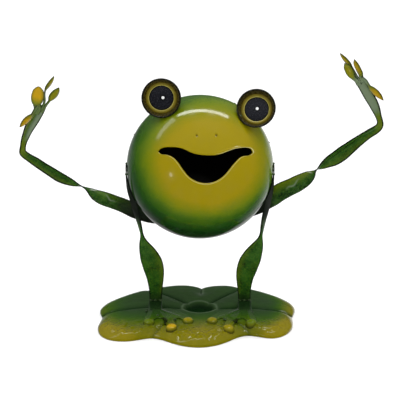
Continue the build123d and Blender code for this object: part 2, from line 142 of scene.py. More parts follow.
def sheet(grid, thick, values, wrap=False, outer=0.5, cap_first=False):
    """Closed sheet of a thickness round a grid, with rounded cut edges.

    outer is the share of the thickness that lies on the normal's side. cap_first closes the small
    hole at the first row of a wrapped grid. Returns points, faces and values.
    """
    rows, cols = grid.shape[:2]
    thick = np.broadcast_to(np.asarray(thick, float), (rows, cols))
    normal = grid_normals(grid, wrap)
    middle = grid + normal * (thick * (outer - 0.5))[..., None]
    half = thick[..., None] / 2
    top = (middle + normal * half).reshape(-1, 3)
    bottom = (middle - normal * half).reshape(-1, 3)
    points = [top, bottom]
    kept = {k: [np.ravel(v), np.ravel(v)] for k, v in values.items()}
    first, last = (1.0, 0.0) if outer > 0.9 else (0.0, 1.0)
    kept["inside"] = [np.full(rows * cols, first), np.full(rows * cols, last)]
    index = np.arange(rows * cols).reshape(rows, cols)
    faces = []
    span = cols if wrap else cols - 1
    for i in range(rows - 1):
        for j in range(span):
            k = (j + 1) % cols
            quad = (index[i, j], index[i + 1, j], index[i + 1, k], index[i, k])
            faces.append(quad)
            faces.append(tuple(q + rows * cols for q in reversed(quad)))
    if wrap:
        loops = [index[-1]] if cap_first else [index[0][::-1], index[-1]]
    else:
        sides = (index[:, 0][:-1], index[-1, :-1], index[:, -1][:0:-1], index[0, :0:-1])
        loops = [np.concatenate(sides)]
    total = 2 * rows * cols
    flat_middle, flat_normal = middle.reshape(-1, 3), normal.reshape(-1, 3)
    flat_half = half.reshape(-1, 1)
    for loop in loops:
        along = unit(np.roll(flat_middle[loop], -1, 0) - np.roll(flat_middle[loop], 1, 0))
        outward = unit(np.cross(along, flat_normal[loop]))
        count = len(loop)
        ring = [loop]
        for angle in ROUND:
            bulge = flat_normal[loop] * math.cos(angle) + outward * math.sin(angle)
            points.append(flat_middle[loop] + bulge * flat_half[loop])
            for name, value in values.items():
                kept[name].append(np.ravel(value)[loop])
            share = math.degrees(angle) / 180
            kept["inside"].append(np.full(count, first + (last - first) * share))
            ring.append(np.arange(total, total + count))
            total += count
        ring.append(loop + rows * cols)
        for upper, lower in zip(ring[:-1], ring[1:]):
            for j in range(count):
                k = (j + 1) % count
                faces.append((upper[k], upper[j], lower[j], lower[k]))
    for layer in (0, rows * cols) if cap_first else ():
        centre = np.mean(np.vstack(points)[index[0] + layer], axis=0)
        points.append(centre[None])
        for name, value in values.items():
            kept[name].append(np.array([np.mean(value[0])]))
        kept["inside"].append(np.array([last if layer else first]))
        for j in range(cols):
            a, b = index[0, j] + layer, index[0, (j + 1) % cols] + layer
            faces.append((b, a, total) if layer else (a, b, total))
        total += 1
    return np.vstack(points), faces, {k: np.concatenate(v) for k, v in kept.items()}


def merge(*parts):
    """Several (points, faces, values) as one; a value that a part doesn't have is 0 there."""
    points, faces, values, start = [], [], {}, 0
    names = sorted(set().union(*(part[2] for part in parts)))
    for part_points, part_faces, part_values in parts:
        points.append(part_points)
        faces += [tuple(i + start for i in face) for face in part_faces]
        for name in names:
            column = part_values.get(name, np.zeros(len(part_points)))
            values.setdefault(name, []).append(column)
        start += len(part_points)
    return np.vstack(points), faces, {k: np.concatenate(v) for k, v in values.items()}


def piece(name, shape, slot, node, paint=None):
    """Makes the Blender object of one piece, which stands for a CAD node."""
    points, faces, values = shape
    mesh = bpy.data.meshes.new(name)
    mesh.from_pydata((points * MM).tolist(), [], [tuple(int(i) for i in f) for f in faces])
    for key, column in values.items():
        mesh.attributes.new(key, "FLOAT", "POINT").data.foreach_set("value", column.astype(np.float32))
    mesh.update()
    work = bmesh.new()
    work.from_mesh(mesh)
    bmesh.ops.recalc_face_normals(work, faces=work.faces)
    work.to_mesh(mesh)
    work.free()
    mesh.shade_smooth()
    mesh.materials.append(paint or PAINTS[slot])
    made = bpy.data.objects.new(name, mesh)
    bpy.context.scene.collection.objects.link(made)
    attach(made, "root")
    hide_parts(node)


def noise_at(points, size, seed):
    """Smooth noise from -1 to 1 at some points, with bumps of about a size in mm."""
    shift = Vector((seed * 17.3, seed * 5.1, seed * 9.7))
    values = [noise.noise(Vector(p) / size + shift) for p in points.reshape(-1, 3)]
    return np.array(values).reshape(points.shape[:-1])


# ---- Materials ----------------------------------------------------------------------------

def linear(srgb):
    """Linear colour of a paint given as (red, green, blue) from 0 to 255."""
    shares = [c / 255 for c in srgb]
    return (*(c / 12.92 if c <= 0.04045 else ((c + 0.055) / 1.055) ** 2.4 for c in shares), 1.0)


class Nodes:
    """Builds the nodes of a paint or of the world. Colours are (red, green, blue) from 0 to 255."""

    def __init__(self, tree):
        self.tree = tree

    def link(self, value, socket):
        """Feeds a socket from another one, or sets its value or colour."""
        if isinstance(value, bpy.types.NodeSocket):
            self.tree.links.new(value, socket)
        else:
            socket.default_value = linear(value) if isinstance(value, tuple) else value

    def node(self, kind, *values):
        """New node, with its first inputs linked or set."""
        made = self.tree.nodes.new("ShaderNode" + kind)
        for socket, value in zip(made.inputs, values):
            self.link(value, socket)
        return made

    def math(self, operation, a, b=0.0, clamp=False):
        made = self.node("Math", a, b)
        made.operation = operation
        made.use_clamp = clamp
        return made.outputs[0]

    def times(self, a, b):
        return self.math("MULTIPLY", a, b)

    def add(self, a, b):
        return self.math("ADD", a, b)

    def swing(self, value, texture, amount, clamp=False):
        """Value moved up and down by a texture whose middle is a half."""
        return self.math("ADD", value, self.times(self.math("SUBTRACT", texture, 0.5), amount), clamp)

    def between(self, value, low, high, start=0.0, end=1.0):
        """Value mapped smoothly from low..high to start..end."""
        made = self.node("MapRange", value, low, high, start, end)
        made.interpolation_type = "SMOOTHSTEP"
        return made.outputs[0]

    def mix(self, share, a, b):
        made = self.node("Mix")
        made.data_type = "RGBA"
        for index, value in ((0, share), (6, a), (7, b)):
            self.link(value, made.inputs[index])
        return made.outputs[2]


class Paint(Nodes):
    """Builds the nodes of one procedural paint."""

    def __init__(self, name, roughness, coat, coat_roughness, specular=0.5):
        self.material = bpy.data.materials.new(name)
        self.material.use_nodes = True
        super().__init__(self.material.node_tree)
        self.shader = self.tree.nodes["Principled BSDF"]
        settings = {"Roughness": roughness, "Coat Weight": coat, "Coat Roughness": coat_roughness,
                    "Specular IOR Level": specular, "IOR": 1.45}
        for socket, value in settings.items():
            self.shader.inputs[socket].default_value = value
        self.place = self.node("TexCoord").outputs["Object"]

    def attribute(self, name):
        made = self.node("Attribute")
        made.attribute_name = name
        return made.outputs["Fac"]

    def noise(self, size_mm, detail=3.0, roughness=0.5):
        made = self.node("TexNoise", self.place)
        made.inputs["Scale"].default_value = 1 / (size_mm * MM)
        made.inputs["Detail"].default_value = detail
        made.inputs["Roughness"].default_value = roughness
        return made.outputs["Fac"]

    def uneven(self, texture, start, end):
        """The wide middle of a texture's values, mapped to start..end."""
        return self.between(texture, 0.3, 0.7, start, end)

    def ramp(self, value, *stops):
        """Colour ramp with stops of position, red, green and blue."""
        made = self.node("ValToRGB", value)
        made.color_ramp.interpolation = "EASE" if len(stops) == 2 else "LINEAR"
        elements = made.color_ramp.elements
        while len(elements) < len(stops):
            elements.new(0.5)
        for element, stop in zip(elements, stops):
            element.position = stop[0]
        for element, stop in zip(elements, stops):
            element.color = linear(stop[1:])
        return made.outputs[0]

    def finish(self, colour, roughness=None, height=None, bump=0.1, bump_mm=0.5):
        """Links the shader's colour, roughness and bump, and returns the material."""
        self.link(colour, self.shader.inputs["Base Color"])
        if roughness is not None:
            self.link(roughness, self.shader.inputs["Roughness"])
        if height is not None:
            made = self.node("Bump", bump, bump_mm * MM)
            self.link(height, made.inputs["Height"])
            self.link(made.outputs[0], self.shader.inputs["Normal"])
            self.link(made.outputs[0], self.shader.inputs["Coat Normal"])
        return self.material


GREEN = (26, 68, 14)
GLOW_MIDDLE = (7.0, 13.0)      # middle of the golden glow on the face: x, and height above the ball's
GLOW_SIZE = (47.5, 41.0)       # its half width and half height, mm


def ball_paint():
    """Airbrushed gloss: gold in the middle of the face, through lime to dark green at the seam."""
    p = Paint("ball_paint", roughness=0.16, coat=0.6, coat_roughness=0.05)
    place = p.node("SeparateXYZ", p.place).outputs
    x = p.times(p.math("SUBTRACT", place[0], GLOW_MIDDLE[0] * MM), 1 / (GLOW_SIZE[0] * MM))
    z = p.times(p.math("SUBTRACT", place[2], (BALL[2] + GLOW_MIDDLE[1]) * MM), 1 / (GLOW_SIZE[1] * MM))
    reach = p.math("SQRT", p.add(p.times(x, x), p.times(z, z)))
    spray = p.noise(0.8, 2.0, 0.7)
    reach = p.swing(p.swing(reach, p.noise(24, 2.0), 0.16), spray, 0.30)
    front = p.ramp(
        p.times(reach, 0.5),
        (0.0, 148, 131, 5), (0.40, 148, 131, 5),
        (0.475, 128, 125, 7), (0.54, 98, 116, 9),
        (0.60, 60, 94, 15), (0.68, *GREEN),
        (0.78, 10, 44, 10), (0.93, 8, 22, 8),
    )
    rear = p.ramp(p.noise(18, 3.0), (0.3, 20, 66, 14), (0.7, 44, 92, 22))
    rear = p.mix(p.between(spray, 0.52, 0.7), rear, GREEN)
    colour = p.mix(p.between(place[1], -6 * MM, 6 * MM), front, rear)
    # Painted highlight along the mouth's edges.
    colour = p.mix(p.between(p.attribute("glint"), 0.2, 0.8), colour, (206, 202, 140))
    fine = p.noise(0.5, 2.0)
    colour = p.mix(p.between(fine, 0.64, 0.8, 0.0, 0.2), colour, (190, 190, 70))
    inside = p.between(p.attribute("inside"), 0.3, 0.8)
    colour = p.mix(inside, colour, (12, 9, 8))
    # Painted shade inside the nostril pits.
    colour = p.mix(p.times(p.attribute("pit"), 0.7), colour, (44, 42, 6))
    rough = p.add(p.uneven(p.noise(7, 4.0), 0.10, 0.20), p.times(inside, 0.55))
    return p.finish(colour, rough, p.add(p.noise(5, 2.0), p.times(fine, 0.10)), 0.08, 0.4)


def limb_paint():
    """Mottled dark green with olive overspray along the upper edges and dark cut edges."""
    p = Paint("limb_paint", roughness=0.25, coat=0.6, coat_roughness=0.08)
    shade = p.attribute("shade")
    bare = p.math("SUBTRACT", 1.0, shade, clamp=True)
    p.link(p.times(bare, 0.6), p.shader.inputs["Coat Weight"])
    mottle = p.noise(7, 4.0, 0.6)
    grain = p.noise(1.1, 2.0, 0.7)
    mixed = p.add(p.times(mottle, 0.7), p.times(grain, 0.3))
    colour = p.ramp(mixed, (0.34, 20, 52, 14), (0.50, 36, 78, 18), (0.66, 54, 98, 22))
    colour = p.mix(p.swing(p.attribute("olive"), grain, 0.5, clamp=True), colour, (112, 124, 14))
    colour = p.mix(shade, colour, (5, 20, 6))
    # Painted sheen on palms and finger stems, and painted highlight lines, in light grey-green.
    colour = p.mix(p.attribute("sheen"), colour, (116, 132, 104))
    pad = p.ramp(p.attribute("warm"), (0.0, 128, 126, 18), (1.0, 188, 146, 12))
    colour = p.mix(p.swing(p.attribute("tip"), grain, 0.3, clamp=True), colour, pad)
    colour = p.mix(p.between(p.attribute("edge"), 0.0, 0.9), (10, 24, 8), colour)
    rough = p.add(p.uneven(mottle, 0.12, 0.26), p.times(shade, 0.5))
    return p.finish(colour, rough, p.add(p.noise(6, 2.0), p.times(grain, 0.12)), 0.30, 0.7)


def leaf_colour(p):
    """Colour shared by the pad and the feet: grey-green at the back to olive-gold at the front."""
    grain = p.noise(1.1, 2.0, 0.7)
    cloud = p.noise(14, 3.0)
    colour = p.ramp(
        p.swing(p.swing(p.attribute("warm"), cloud, 0.20), grain, 0.12),
        (0.0, 40, 58, 36), (0.25, 42, 72, 24),
        (0.45, 54, 84, 10), (0.70, 88, 97, 5),
        (1.0, 126, 115, 5),
    )
    return colour, grain, cloud


def pad_paint():
    """Satin airbrushing: grey-green in the middle and at the back, olive-gold at the front and rim."""
    p = Paint("pad_paint", roughness=0.3, coat=0.4, coat_roughness=0.05, specular=0.1)
    colour, grain, cloud = leaf_colour(p)
    gloss = p.between(p.attribute("warm"), 0.35, 0.75)
    p.link(p.times(gloss, 0.9), p.shader.inputs["Coat Weight"])
    # Painted shade, dark green, in the grooves and the middle hollow.
    colour = p.mix(p.attribute("groove"), colour, (9, 42, 11))
    # Painted highlight along the fold crests and round the hollow's rim.
    colour = p.mix(p.times(p.attribute("crest"), 0.6), colour, (92, 110, 84))
    colour = p.mix(p.between(p.attribute("inside"), 0.3, 0.8), colour, (34, 44, 24))
    rough = p.math("SUBTRACT", p.uneven(cloud, 0.30, 0.44), p.times(gloss, 0.20))
    return p.finish(colour, rough, p.add(p.noise(6, 3.0), p.times(grain, 0.15)), 0.2, 0.6)


def foot_paint():
    """Feet sprayed with the pad: the same colours, with golden toe ends."""
    p = Paint("foot_paint", roughness=0.28, coat=0.4, coat_roughness=0.06, specular=0.3)
    colour, grain, cloud = leaf_colour(p)
    colour = p.mix(p.attribute("shade"), colour, (12, 36, 12))
    tone = p.ramp(p.attribute("tone"), (0.0, 88, 108, 12), (1.0, 184, 150, 14))
    colour = p.mix(p.swing(p.attribute("tip"), grain, 0.3, clamp=True), colour, tone)
    colour = p.mix(p.between(p.attribute("edge"), 0.0, 1.2, 0.45, 1.0), (20, 40, 8), colour)
    # Painted shade in the scallop between the two outer toes and round the edge of each toe dome.
    colour = p.mix(p.attribute("scallop"), colour, (14, 18, 6))
    height = p.add(p.noise(4, 3.0), p.times(grain, 0.2))
    return p.finish(colour, p.uneven(cloud, 0.12, 0.26), height, 0.2, 0.5)


def eye_bowl_paint():
    """Dark olive-brown inside, black at the rolled rim, lighter olive outside."""
    p = Paint("eye_bowl_paint", roughness=0.28, coat=0.5, coat_roughness=0.1)
    streak = p.noise(3, 3.0, 0.6)
    colour = p.ramp(
        p.swing(p.attribute("ring"), streak, 0.06),
        (0.0, 96, 96, 26), (0.30, 104, 98, 22),
        (0.44, 62, 56, 16), (0.49, 14, 14, 8),
        (0.56, 20, 18, 8), (0.66, 58, 50, 16),
        (0.85, 74, 64, 22), (1.0, 30, 26, 10),
    )
    fleck = p.noise(1.0, 2.0, 0.7)
    colour = p.mix(p.between(fleck, 0.58, 0.75, 0.0, 0.4), colour, (110, 104, 60))
    return p.finish(colour, p.uneven(streak, 0.2, 0.36), fleck, 0.10, 0.4)


def eye_ring_paint():
    """Yellow-olive gloss on the dish's rolled lip, dark floor."""
    p = Paint("eye_ring_paint", roughness=0.2, coat=0.7, coat_roughness=0.06)
    streak = p.noise(2.5, 3.0, 0.6)
    # The bright stop is a painted highlight on the inner flank of the lip; the lip darkens down its outer
    # flank.
    colour = p.ramp(
        p.swing(p.attribute("ring"), streak, 0.05),
        (0.0, 10, 10, 9), (0.48, 12, 12, 8),
        (0.545, 70, 64, 18), (0.585, 204, 194, 104),
        (0.63, 126, 114, 28), (0.78, 108, 94, 20),
        (0.90, 40, 34, 8), (1.0, 18, 14, 6),
    )
    return p.finish(colour, p.uneven(streak, 0.14, 0.26), streak, 0.10, 0.4)


def pupil_paint():
    """Charcoal gloss with a white dot in a black halo."""
    p = Paint("pupil_paint", roughness=0.22, coat=0.6, coat_roughness=0.08)
    fleck = p.noise(1.6, 3.0, 0.7)
    colour = p.ramp(fleck, (0.35, 24, 25, 31), (0.65, 33, 34, 40))
    dot = p.swing(p.attribute("dot"), fleck, 0.15)
    colour = p.mix(p.between(dot, 1.7, 2.9), (2, 2, 3), colour)
    colour = p.mix(p.between(dot, 1.1, 1.35), (246, 248, 246), colour)
    colour = p.mix(p.between(p.attribute("edge"), 0.0, 1.0), (6, 6, 8), colour)
    return p.finish(colour, p.uneven(fleck, 0.16, 0.30), fleck, 0.08, 0.3)


def weld_paint():
    """Painted-over weld beads."""
    p = Paint("weld_paint", roughness=0.15, coat=1.0, coat_roughness=0.05)
    grain = p.noise(0.8, 3.0, 0.6)
    colour = p.ramp(grain, (0.3, 18, 44, 14), (0.7, 62, 82, 40))
    return p.finish(colour, p.uneven(grain, 0.15, 0.35), grain, 0.3, 0.3)


# ---- Ball ---------------------------------------------------------------------------------

UPPER_LIP = [(-33.0, 23.5), (-25.0, 26.0), (-15.0, 25.6), (-6.0, 22.2), (5.0, 20.6), (16.0, 21.0),
             (26.5, 23.8), (35.5, 24.4), (43.0, 21.0)]
LOWER_LIP = [(41.0, 18.0), (35.0, 17.8), (30.0, 14.6), (26.0, 10.4), (20.5, 4.0), (14.5, -0.4),
             (6.5, -2.6), (-1.5, -1.5), (-9.0, 2.8), (-15.0, 10.0), (-21.0, 17.2), (-28.0, 19.8),
             (-33.0, 20.4)]
RIGHT_CORNER = (43.4, 19.2)
LEFT_CORNER = (-34.4, 21.9)
# Each lip: its points, first and last corner, steps, and the directions it spreads to at the seam.
LIPS = [(UPPER_LIP, RIGHT_CORNER, LEFT_CORNER, 201, 16, 164),
        (LOWER_LIP, LEFT_CORNER, RIGHT_CORNER, 281, 164, 376)]
LOWER_FROM = math.radians(168)   # where the painted highlight along the lower lip's edge begins
NOSTRILS = [(-2.6, 35.5), (13.2, 35.5)]
PIT_RADIUS = 0.85
PIT_DEPTH = 0.8
PIT_COLLAR = 1.9             # radius of the raised ring round a pit, mm
LIP_ROLL = 1.1               # radius of the mouth's rolled-in edge, mm
BACK_ROWS = 64


def mouth_outline():
    """Mouth edge from its right corner over the top and back along the bottom, with rim angles."""
    edge, angles = [], []
    for points, start, end, count, first, last in LIPS:
        flat = [(x, 0, z) for x, z in [start, *points[::-1], end]]
        edge.append(spline(flat, count)[:-1, [0, 2]])
        angles.append(np.linspace(first, last, count)[:-1])
    return np.vstack(edge), np.radians(np.concatenate(angles))


def face_dome():
    """Front dome: rings from the mouth's edge out to the seam, on the ellipsoid."""
    outline, angles = mouth_outline()
    reach = np.linalg.norm(outline, axis=1)
    tilt = np.arcsin(np.clip(reach / RADIUS, 0, 1))
    start = outline / reach[:, None] * tilt[:, None]
    end = np.stack([np.cos(angles), np.sin(angles)], 1) * (math.pi / 2)
    shares = np.concatenate([np.linspace(0, 0.055, 9)[:-1], np.linspace(0.055, 1, 84)])
    plane = start[None] * (1 - shares[:, None, None]) + end[None] * shares[:, None, None]
    tilt = np.linalg.norm(plane, axis=2)
    way = plane / np.maximum(tilt[..., None], 1e-9)
    across = RADIUS * np.sin(tilt)
    grid = np.stack([across * way[..., 0], -FACE_DEPTH * np.cos(tilt), across * way[..., 1]], 2)
    normal = unit(grid / np.array([RADIUS, FACE_DEPTH, RADIUS]) ** 2)
    from_mouth = np.linalg.norm(grid - grid[0][None], axis=2)
    inside = np.clip(1 - from_mouth / LIP_ROLL, 0, 1)
    grid = grid - normal * (LIP_ROLL * 0.75 * (1 - np.sqrt(1 - inside**2)))[..., None]
    flare = smoothstep(8, 22, outline[:, 0]) * smoothstep(17.0, 19.5, outline[:, 1]) * (angles < 1.7)
    flare = flare + 0.6 * smoothstep(18, 24, outline[:, 0]) * (angles > 3.5)
    grid = grid + normal * (0.55 * flare[None] * bump_at(from_mouth - 1.5, 1.0))[..., None]
    # pit also darkens the ball paint: painted shade inside the nostril pits.
    pit = np.zeros_like(from_mouth)
    for x, up in NOSTRILS:
        away = np.hypot(grid[..., 0] - x, grid[..., 2] - up)
        pit = np.maximum(pit, np.exp(-((away / PIT_RADIUS) ** 4)))
        grid = grid + normal * (0.16 * bump_at(away - PIT_COLLAR, 0.5))[..., None]
    grid = grid - normal * (PIT_DEPTH * pit)[..., None] + BALL
    # Painted highlight along the mouth's edges: the lower lip and the right half of the upper lip.
    glint = np.where(angles > LOWER_FROM, 0.5, 0.9 * smoothstep(6, 20, outline[:, 0]))
    glint = glint[None] * smoothstep(0.95, 0.65, from_mouth) * smoothstep(0.1, 0.4, from_mouth)
    return sheet(grid, SHEET, {"glint": glint, "pit": pit}, wrap=True, outer=0.0)


def back_dome():
    """Rear dome with its short lip inside the face dome's rim."""
    radius = RADIUS - SHEET
    turn = np.linspace(0, 2 * math.pi, 192, endpoint=False)
    tilt = np.concatenate([np.linspace(0.02, math.pi / 2, BACK_ROWS), [math.pi / 2] * 5])
    depth = np.concatenate([np.zeros(BACK_ROWS), np.linspace(0.6, 2.9, 5)])
    grid = np.stack(
        [
            radius * np.sin(tilt)[:, None] * np.cos(turn)[None],
            (BACK_DEPTH * np.cos(tilt) - depth)[:, None] + 0 * turn[None],
            radius * np.sin(tilt)[:, None] * np.sin(turn)[None],
        ],
        2,
    )
    normal = unit(grid * np.array([1, 1.6, 1]))
    ripple = noise_at(grid, 30, 2) * 0.10 * smoothstep(0.0, 6.0, grid[..., 1])
    grid = grid - normal * (0.06 + 0.06 * ripple)[..., None] + BALL
    return sheet(grid, SHEET, {}, wrap=True, outer=1.0, cap_first=True)


def outside_ball(points, gap):
    """Points moved out so that none is nearer to the ball's surface than a gap, in mm."""
    local = points - BALL
    depth = np.where(local[..., 1] > 0, BACK_DEPTH, FACE_DEPTH)
    radius = np.where(local[..., 1] > 0, RADIUS - SHEET, RADIUS)
    size = np.sqrt(
        (local[..., 0] / (radius + gap)) ** 2
        + (local[..., 1] / (depth + gap)) ** 2
        + (local[..., 2] / (radius + gap)) ** 2
    )
    push = np.where(size < 1, 1 / np.maximum(size, 1e-6), 1)[..., None]
    return local * push + BALL


# ---- Eyes ---------------------------------------------------------------------------------

EYE_GAZE = {"left": (8.0, 0.0), "right": (22.0, -9.0)}       # degrees up, degrees towards +X
LATHE_STEPS = 144            # points round an eye's axis
CUP_ROWS, LIP_ROWS, SHELL_ROWS = 56, 14, 60      # rows of a bowl's inside, rim and outside
FLOOR_ROWS, BEAD_ROWS, BASE_ROWS = 24, 44, 22    # rows of a dish's floor, lip and back
EYE_RIM = 16.4
EYE_DEPTH = 12.0
EYE_ROLL = 0.62              # radius of the bowl's rolled rim
PUPIL_SINK = 5.43            # how far the pupil's middle lies behind the rim
DISH_FLOOR = -6.45           # height of the dish's floor, from the rim
DISH_LIP = 11.7
DISH_ROLL = 1.7              # radius of the dish's rolled lip
DISH_BACK = [(12.2, -7.35), (11.2, -7.62), (8.0, -7.55), (4.0, -7.5), (0.3, -7.5)]
PUPIL_RADIUS = 9.9
PUPIL_ROUND = 0.35           # how far its edge is rounded
DOT_OFFSET = {"left": (1.3, 0.2), "right": (0.5, 0.4)}


def eye_frame(side):
    """Rim centre and axes (across, up, gaze) of an eye, from its CAD pupil."""
    up, turn = (math.radians(v) for v in EYE_GAZE[side])
    gaze = unit(np.array([math.sin(turn), -math.cos(turn) * math.cos(up), math.sin(up)]))
    across = unit(np.array([1.0, 0, 0]) - gaze * gaze[0])
    pupil_low, pupil_high = box_mm(f"{side}_pupil")
    return (pupil_low + pupil_high) / 2 + gaze * PUPIL_SINK, across, np.cross(gaze, across), gaze


def lathe(profile, side):
    """Surface of revolution about an eye's axis, from (radius, height) rows, as a wrapped grid."""
    centre, across, over, gaze = eye_frame(side)
    turn = np.linspace(0, 2 * math.pi, LATHE_STEPS, endpoint=False)
    radius, height = profile[:, 0], profile[:, 1]
    ring = np.cos(turn)[:, None] * across + np.sin(turn)[:, None] * over
    return centre + radius[:, None, None] * ring[None] + height[:, None, None] * gaze


def eye_bowl(side):
    """Bowl: one sheet, with its rim rolled slightly outwards, flattened where it rests on the ball."""
    sphere = (EYE_RIM**2 + EYE_DEPTH**2) / (2 * EYE_DEPTH)
    inner = sphere - SHEET
    top = math.asin((EYE_RIM - 1.35) / inner)
    tilt = np.linspace(0.02, top, CUP_ROWS)
    cup = np.stack([inner * np.sin(tilt), sphere - EYE_DEPTH - inner * np.cos(tilt)], 1)
    turn = np.linspace(-0.55 * math.pi, 0.5 * math.pi, LIP_ROWS)
    roll = np.stack([0.9 * EYE_ROLL * np.sin(turn), EYE_ROLL * np.cos(turn)], 1)
    lip = cup[-1] + np.array([0.30, EYE_ROLL]) + roll[np.argsort(roll[:, 0])]
    tilt_back = np.linspace(math.asin((EYE_RIM - 0.15) / sphere), 0.02, SHELL_ROWS)
    back = np.stack([sphere * np.sin(tilt_back), sphere - EYE_DEPTH - sphere * np.cos(tilt_back)], 1)
    rings = [0.60 + 0.40 * (1 - tilt / top), np.full(LIP_ROWS, 0.5)]
    rings += [np.linspace(0.5, 0.42, 12), np.linspace(0.42, 0.0, SHELL_ROWS - 12)]
    return closed_lathe(np.vstack([cup, lip, back]), np.concatenate(rings), side, hug=True)


def closed_lathe(rows, rings, side, hug=False, extra=None):
    """Solid of revolution whose profile starts and ends near the axis."""
    grid = lathe(rows, side)
    if hug:
        grid = outside_ball(grid, BALL_GAP)
    count, cols = grid.shape[:2]
    index = np.arange(count * cols).reshape(count, cols)
    faces = []
    for i in range(count - 1):
        for j in range(cols):
            k = (j + 1) % cols
            faces.append((index[i, j], index[i, k], index[i + 1, k], index[i + 1, j]))
    for end, row in enumerate((0, count - 1)):
        middle = count * cols + end
        for j in range(cols):
            a, b = index[row, j], index[row, (j + 1) % cols]
            faces.append((a, middle, b) if row == 0 else (b, middle, a))
    points = np.vstack([grid.reshape(-1, 3), grid[0].mean(0), grid[-1].mean(0)])
    values = {"ring": np.concatenate([np.repeat(rings, cols), [rings[0], rings[-1]]])}
    if extra:
        values.update({k: f(points) for k, f in extra.items()})
    return points, faces, values


def eye_dish(side):
    """Dish with a rolled lip: dark floor, round bead, and its back tucked against the bowl."""
    reach = DISH_LIP - DISH_ROLL * 0.9
    radii = np.linspace(0.3, reach - 0.6, FLOOR_ROWS)
    turn = np.radians(np.linspace(205, -50, BEAD_ROWS))
    bead_rows = np.stack([DISH_LIP + DISH_ROLL * np.cos(turn), -5.6 + DISH_ROLL * np.sin(turn)], 1)
    back = spline([(radius, 0, height) for radius, height in DISH_BACK], BASE_ROWS)[:, [0, 2]]
    rows = np.vstack([np.stack([radii, np.full(FLOOR_ROWS, DISH_FLOOR)], 1), bead_rows, back])
    rings = np.concatenate([0.40 * radii / reach, np.linspace(0.46, 1.0, BEAD_ROWS), np.full(BASE_ROWS, 1.0)])
    return closed_lathe(rows, rings, side)


def pupil(side):
    """Domed disc with a rounded edge."""
    centre, across, over, _ = eye_frame(side)
    low, high, crown = -6.42, -5.45, 1.0
    radii = np.linspace(0.25, PUPIL_RADIUS - PUPIL_ROUND, 34)
    top = np.stack([radii, high + crown * (1 - (radii / PUPIL_RADIUS) ** 2)], 1)
    turn = np.radians(np.linspace(80, -80, 12))
    middle, half = (top[-1, 1] + low) / 2, (top[-1, 1] - low) / 2
    edge_radii = PUPIL_RADIUS - PUPIL_ROUND + PUPIL_ROUND * np.cos(turn)
    edge_rows = np.stack([edge_radii, middle + half * np.sin(turn)], 1)
    bottom = np.stack([np.linspace(PUPIL_RADIUS - 0.4, 0.25, 16), np.full(16, low)], 1)
    dot_x, dot_up = DOT_OFFSET[side]

    def dot(points):
        local = points - centre
        return np.hypot(local @ across - dot_x, local @ over - dot_up)

    def edge(points):
        local = points - centre
        return PUPIL_RADIUS - np.hypot(local @ across, local @ over)

    rows = np.vstack([top, edge_rows, bottom])
    return closed_lathe(rows, np.zeros(len(rows)), side, extra={"dot": dot, "edge": edge})


# ---- Straps -------------------------------------------------------------------------------

ARM_ROWS, LEG_ROWS, FINGER_ROWS = 380, 260, 90
STRAP_COLS, FINGER_COLS = 31, 15
RIDGE_SIDE = 0.40            # where a strap's ridge lies, as a share of its half width
RIDGE_RISE = 1.25                # height of its crest, mm


def strap_axes(path, rolls):
    """Tangents, width directions and normals along a path; roll 0 is square to the front."""
    tangent = unit(np.gradient(path, axis=0))
    across = unit(np.cross(tangent, np.array([0.0, 1, 0])))
    across = turned(across, tangent, np.radians(rolls))
    return tangent, across, np.cross(tangent, across)


def wavy_line(x, first, last, start, end, ripples):
    """Share of the way from one x to another, and a slightly wavy line from start to end there."""
    share = np.clip((x - first) / (last - first), 0, 1)
    return share, start + (end - start) * share + 0.10 * np.sin(share * ripples)


def strap_grid(rows, waver, seed, wrinkle=None):
    """Mid-surface grid of a strap from rows of x, y, z, width, roll, camber, ridge.

    waver is how unevenly its edges are cut, in mm. The wrinkle is a fine raised fold: first and last
    x, where it starts and ends across, height.
    """
    path = rows[:, :3]
    _, across, normal = strap_axes(path, rows[:, 4])
    crowded = np.sin(np.linspace(-math.pi / 2, math.pi / 2, STRAP_COLS))
    s = 0.35 * crowded + 0.65 * np.linspace(-1, 1, STRAP_COLS)
    half = np.maximum(rows[:, 3] / 2 - SHEET / 2, 0.12)
    wave = np.stack([noise_at(path + np.array([0, 0, 40.0 * k]), 9, seed) for k in range(2)], 1)
    uneven = np.where(s[None] > 0, wave[:, 1:2], wave[:, 0:1]) * np.abs(s)[None] * waver
    reach = s[None] * half[:, None] + np.sign(s)[None] * uneven
    grid = path[:, None] + across[:, None] * reach[..., None]
    bow = rows[:, 5:6] * (1 - s[None] ** 2) + rows[:, 6:7] * RIDGE_RISE * bump_at(s[None] + RIDGE_SIDE, 0.17)
    if wrinkle:
        share, line = wavy_line(rows[:, 0:1], *wrinkle[:4], 11)
        bow = bow + wrinkle[4] * np.sin(share * math.pi) ** 0.5 * bump_at(s[None] - line, 0.13)
    grid = outside_ball(grid + normal[:, None] * bow[..., None], SHEET / 2 + BALL_GAP)
    return grid, s, (1 - np.abs(s))[None] * half[:, None]


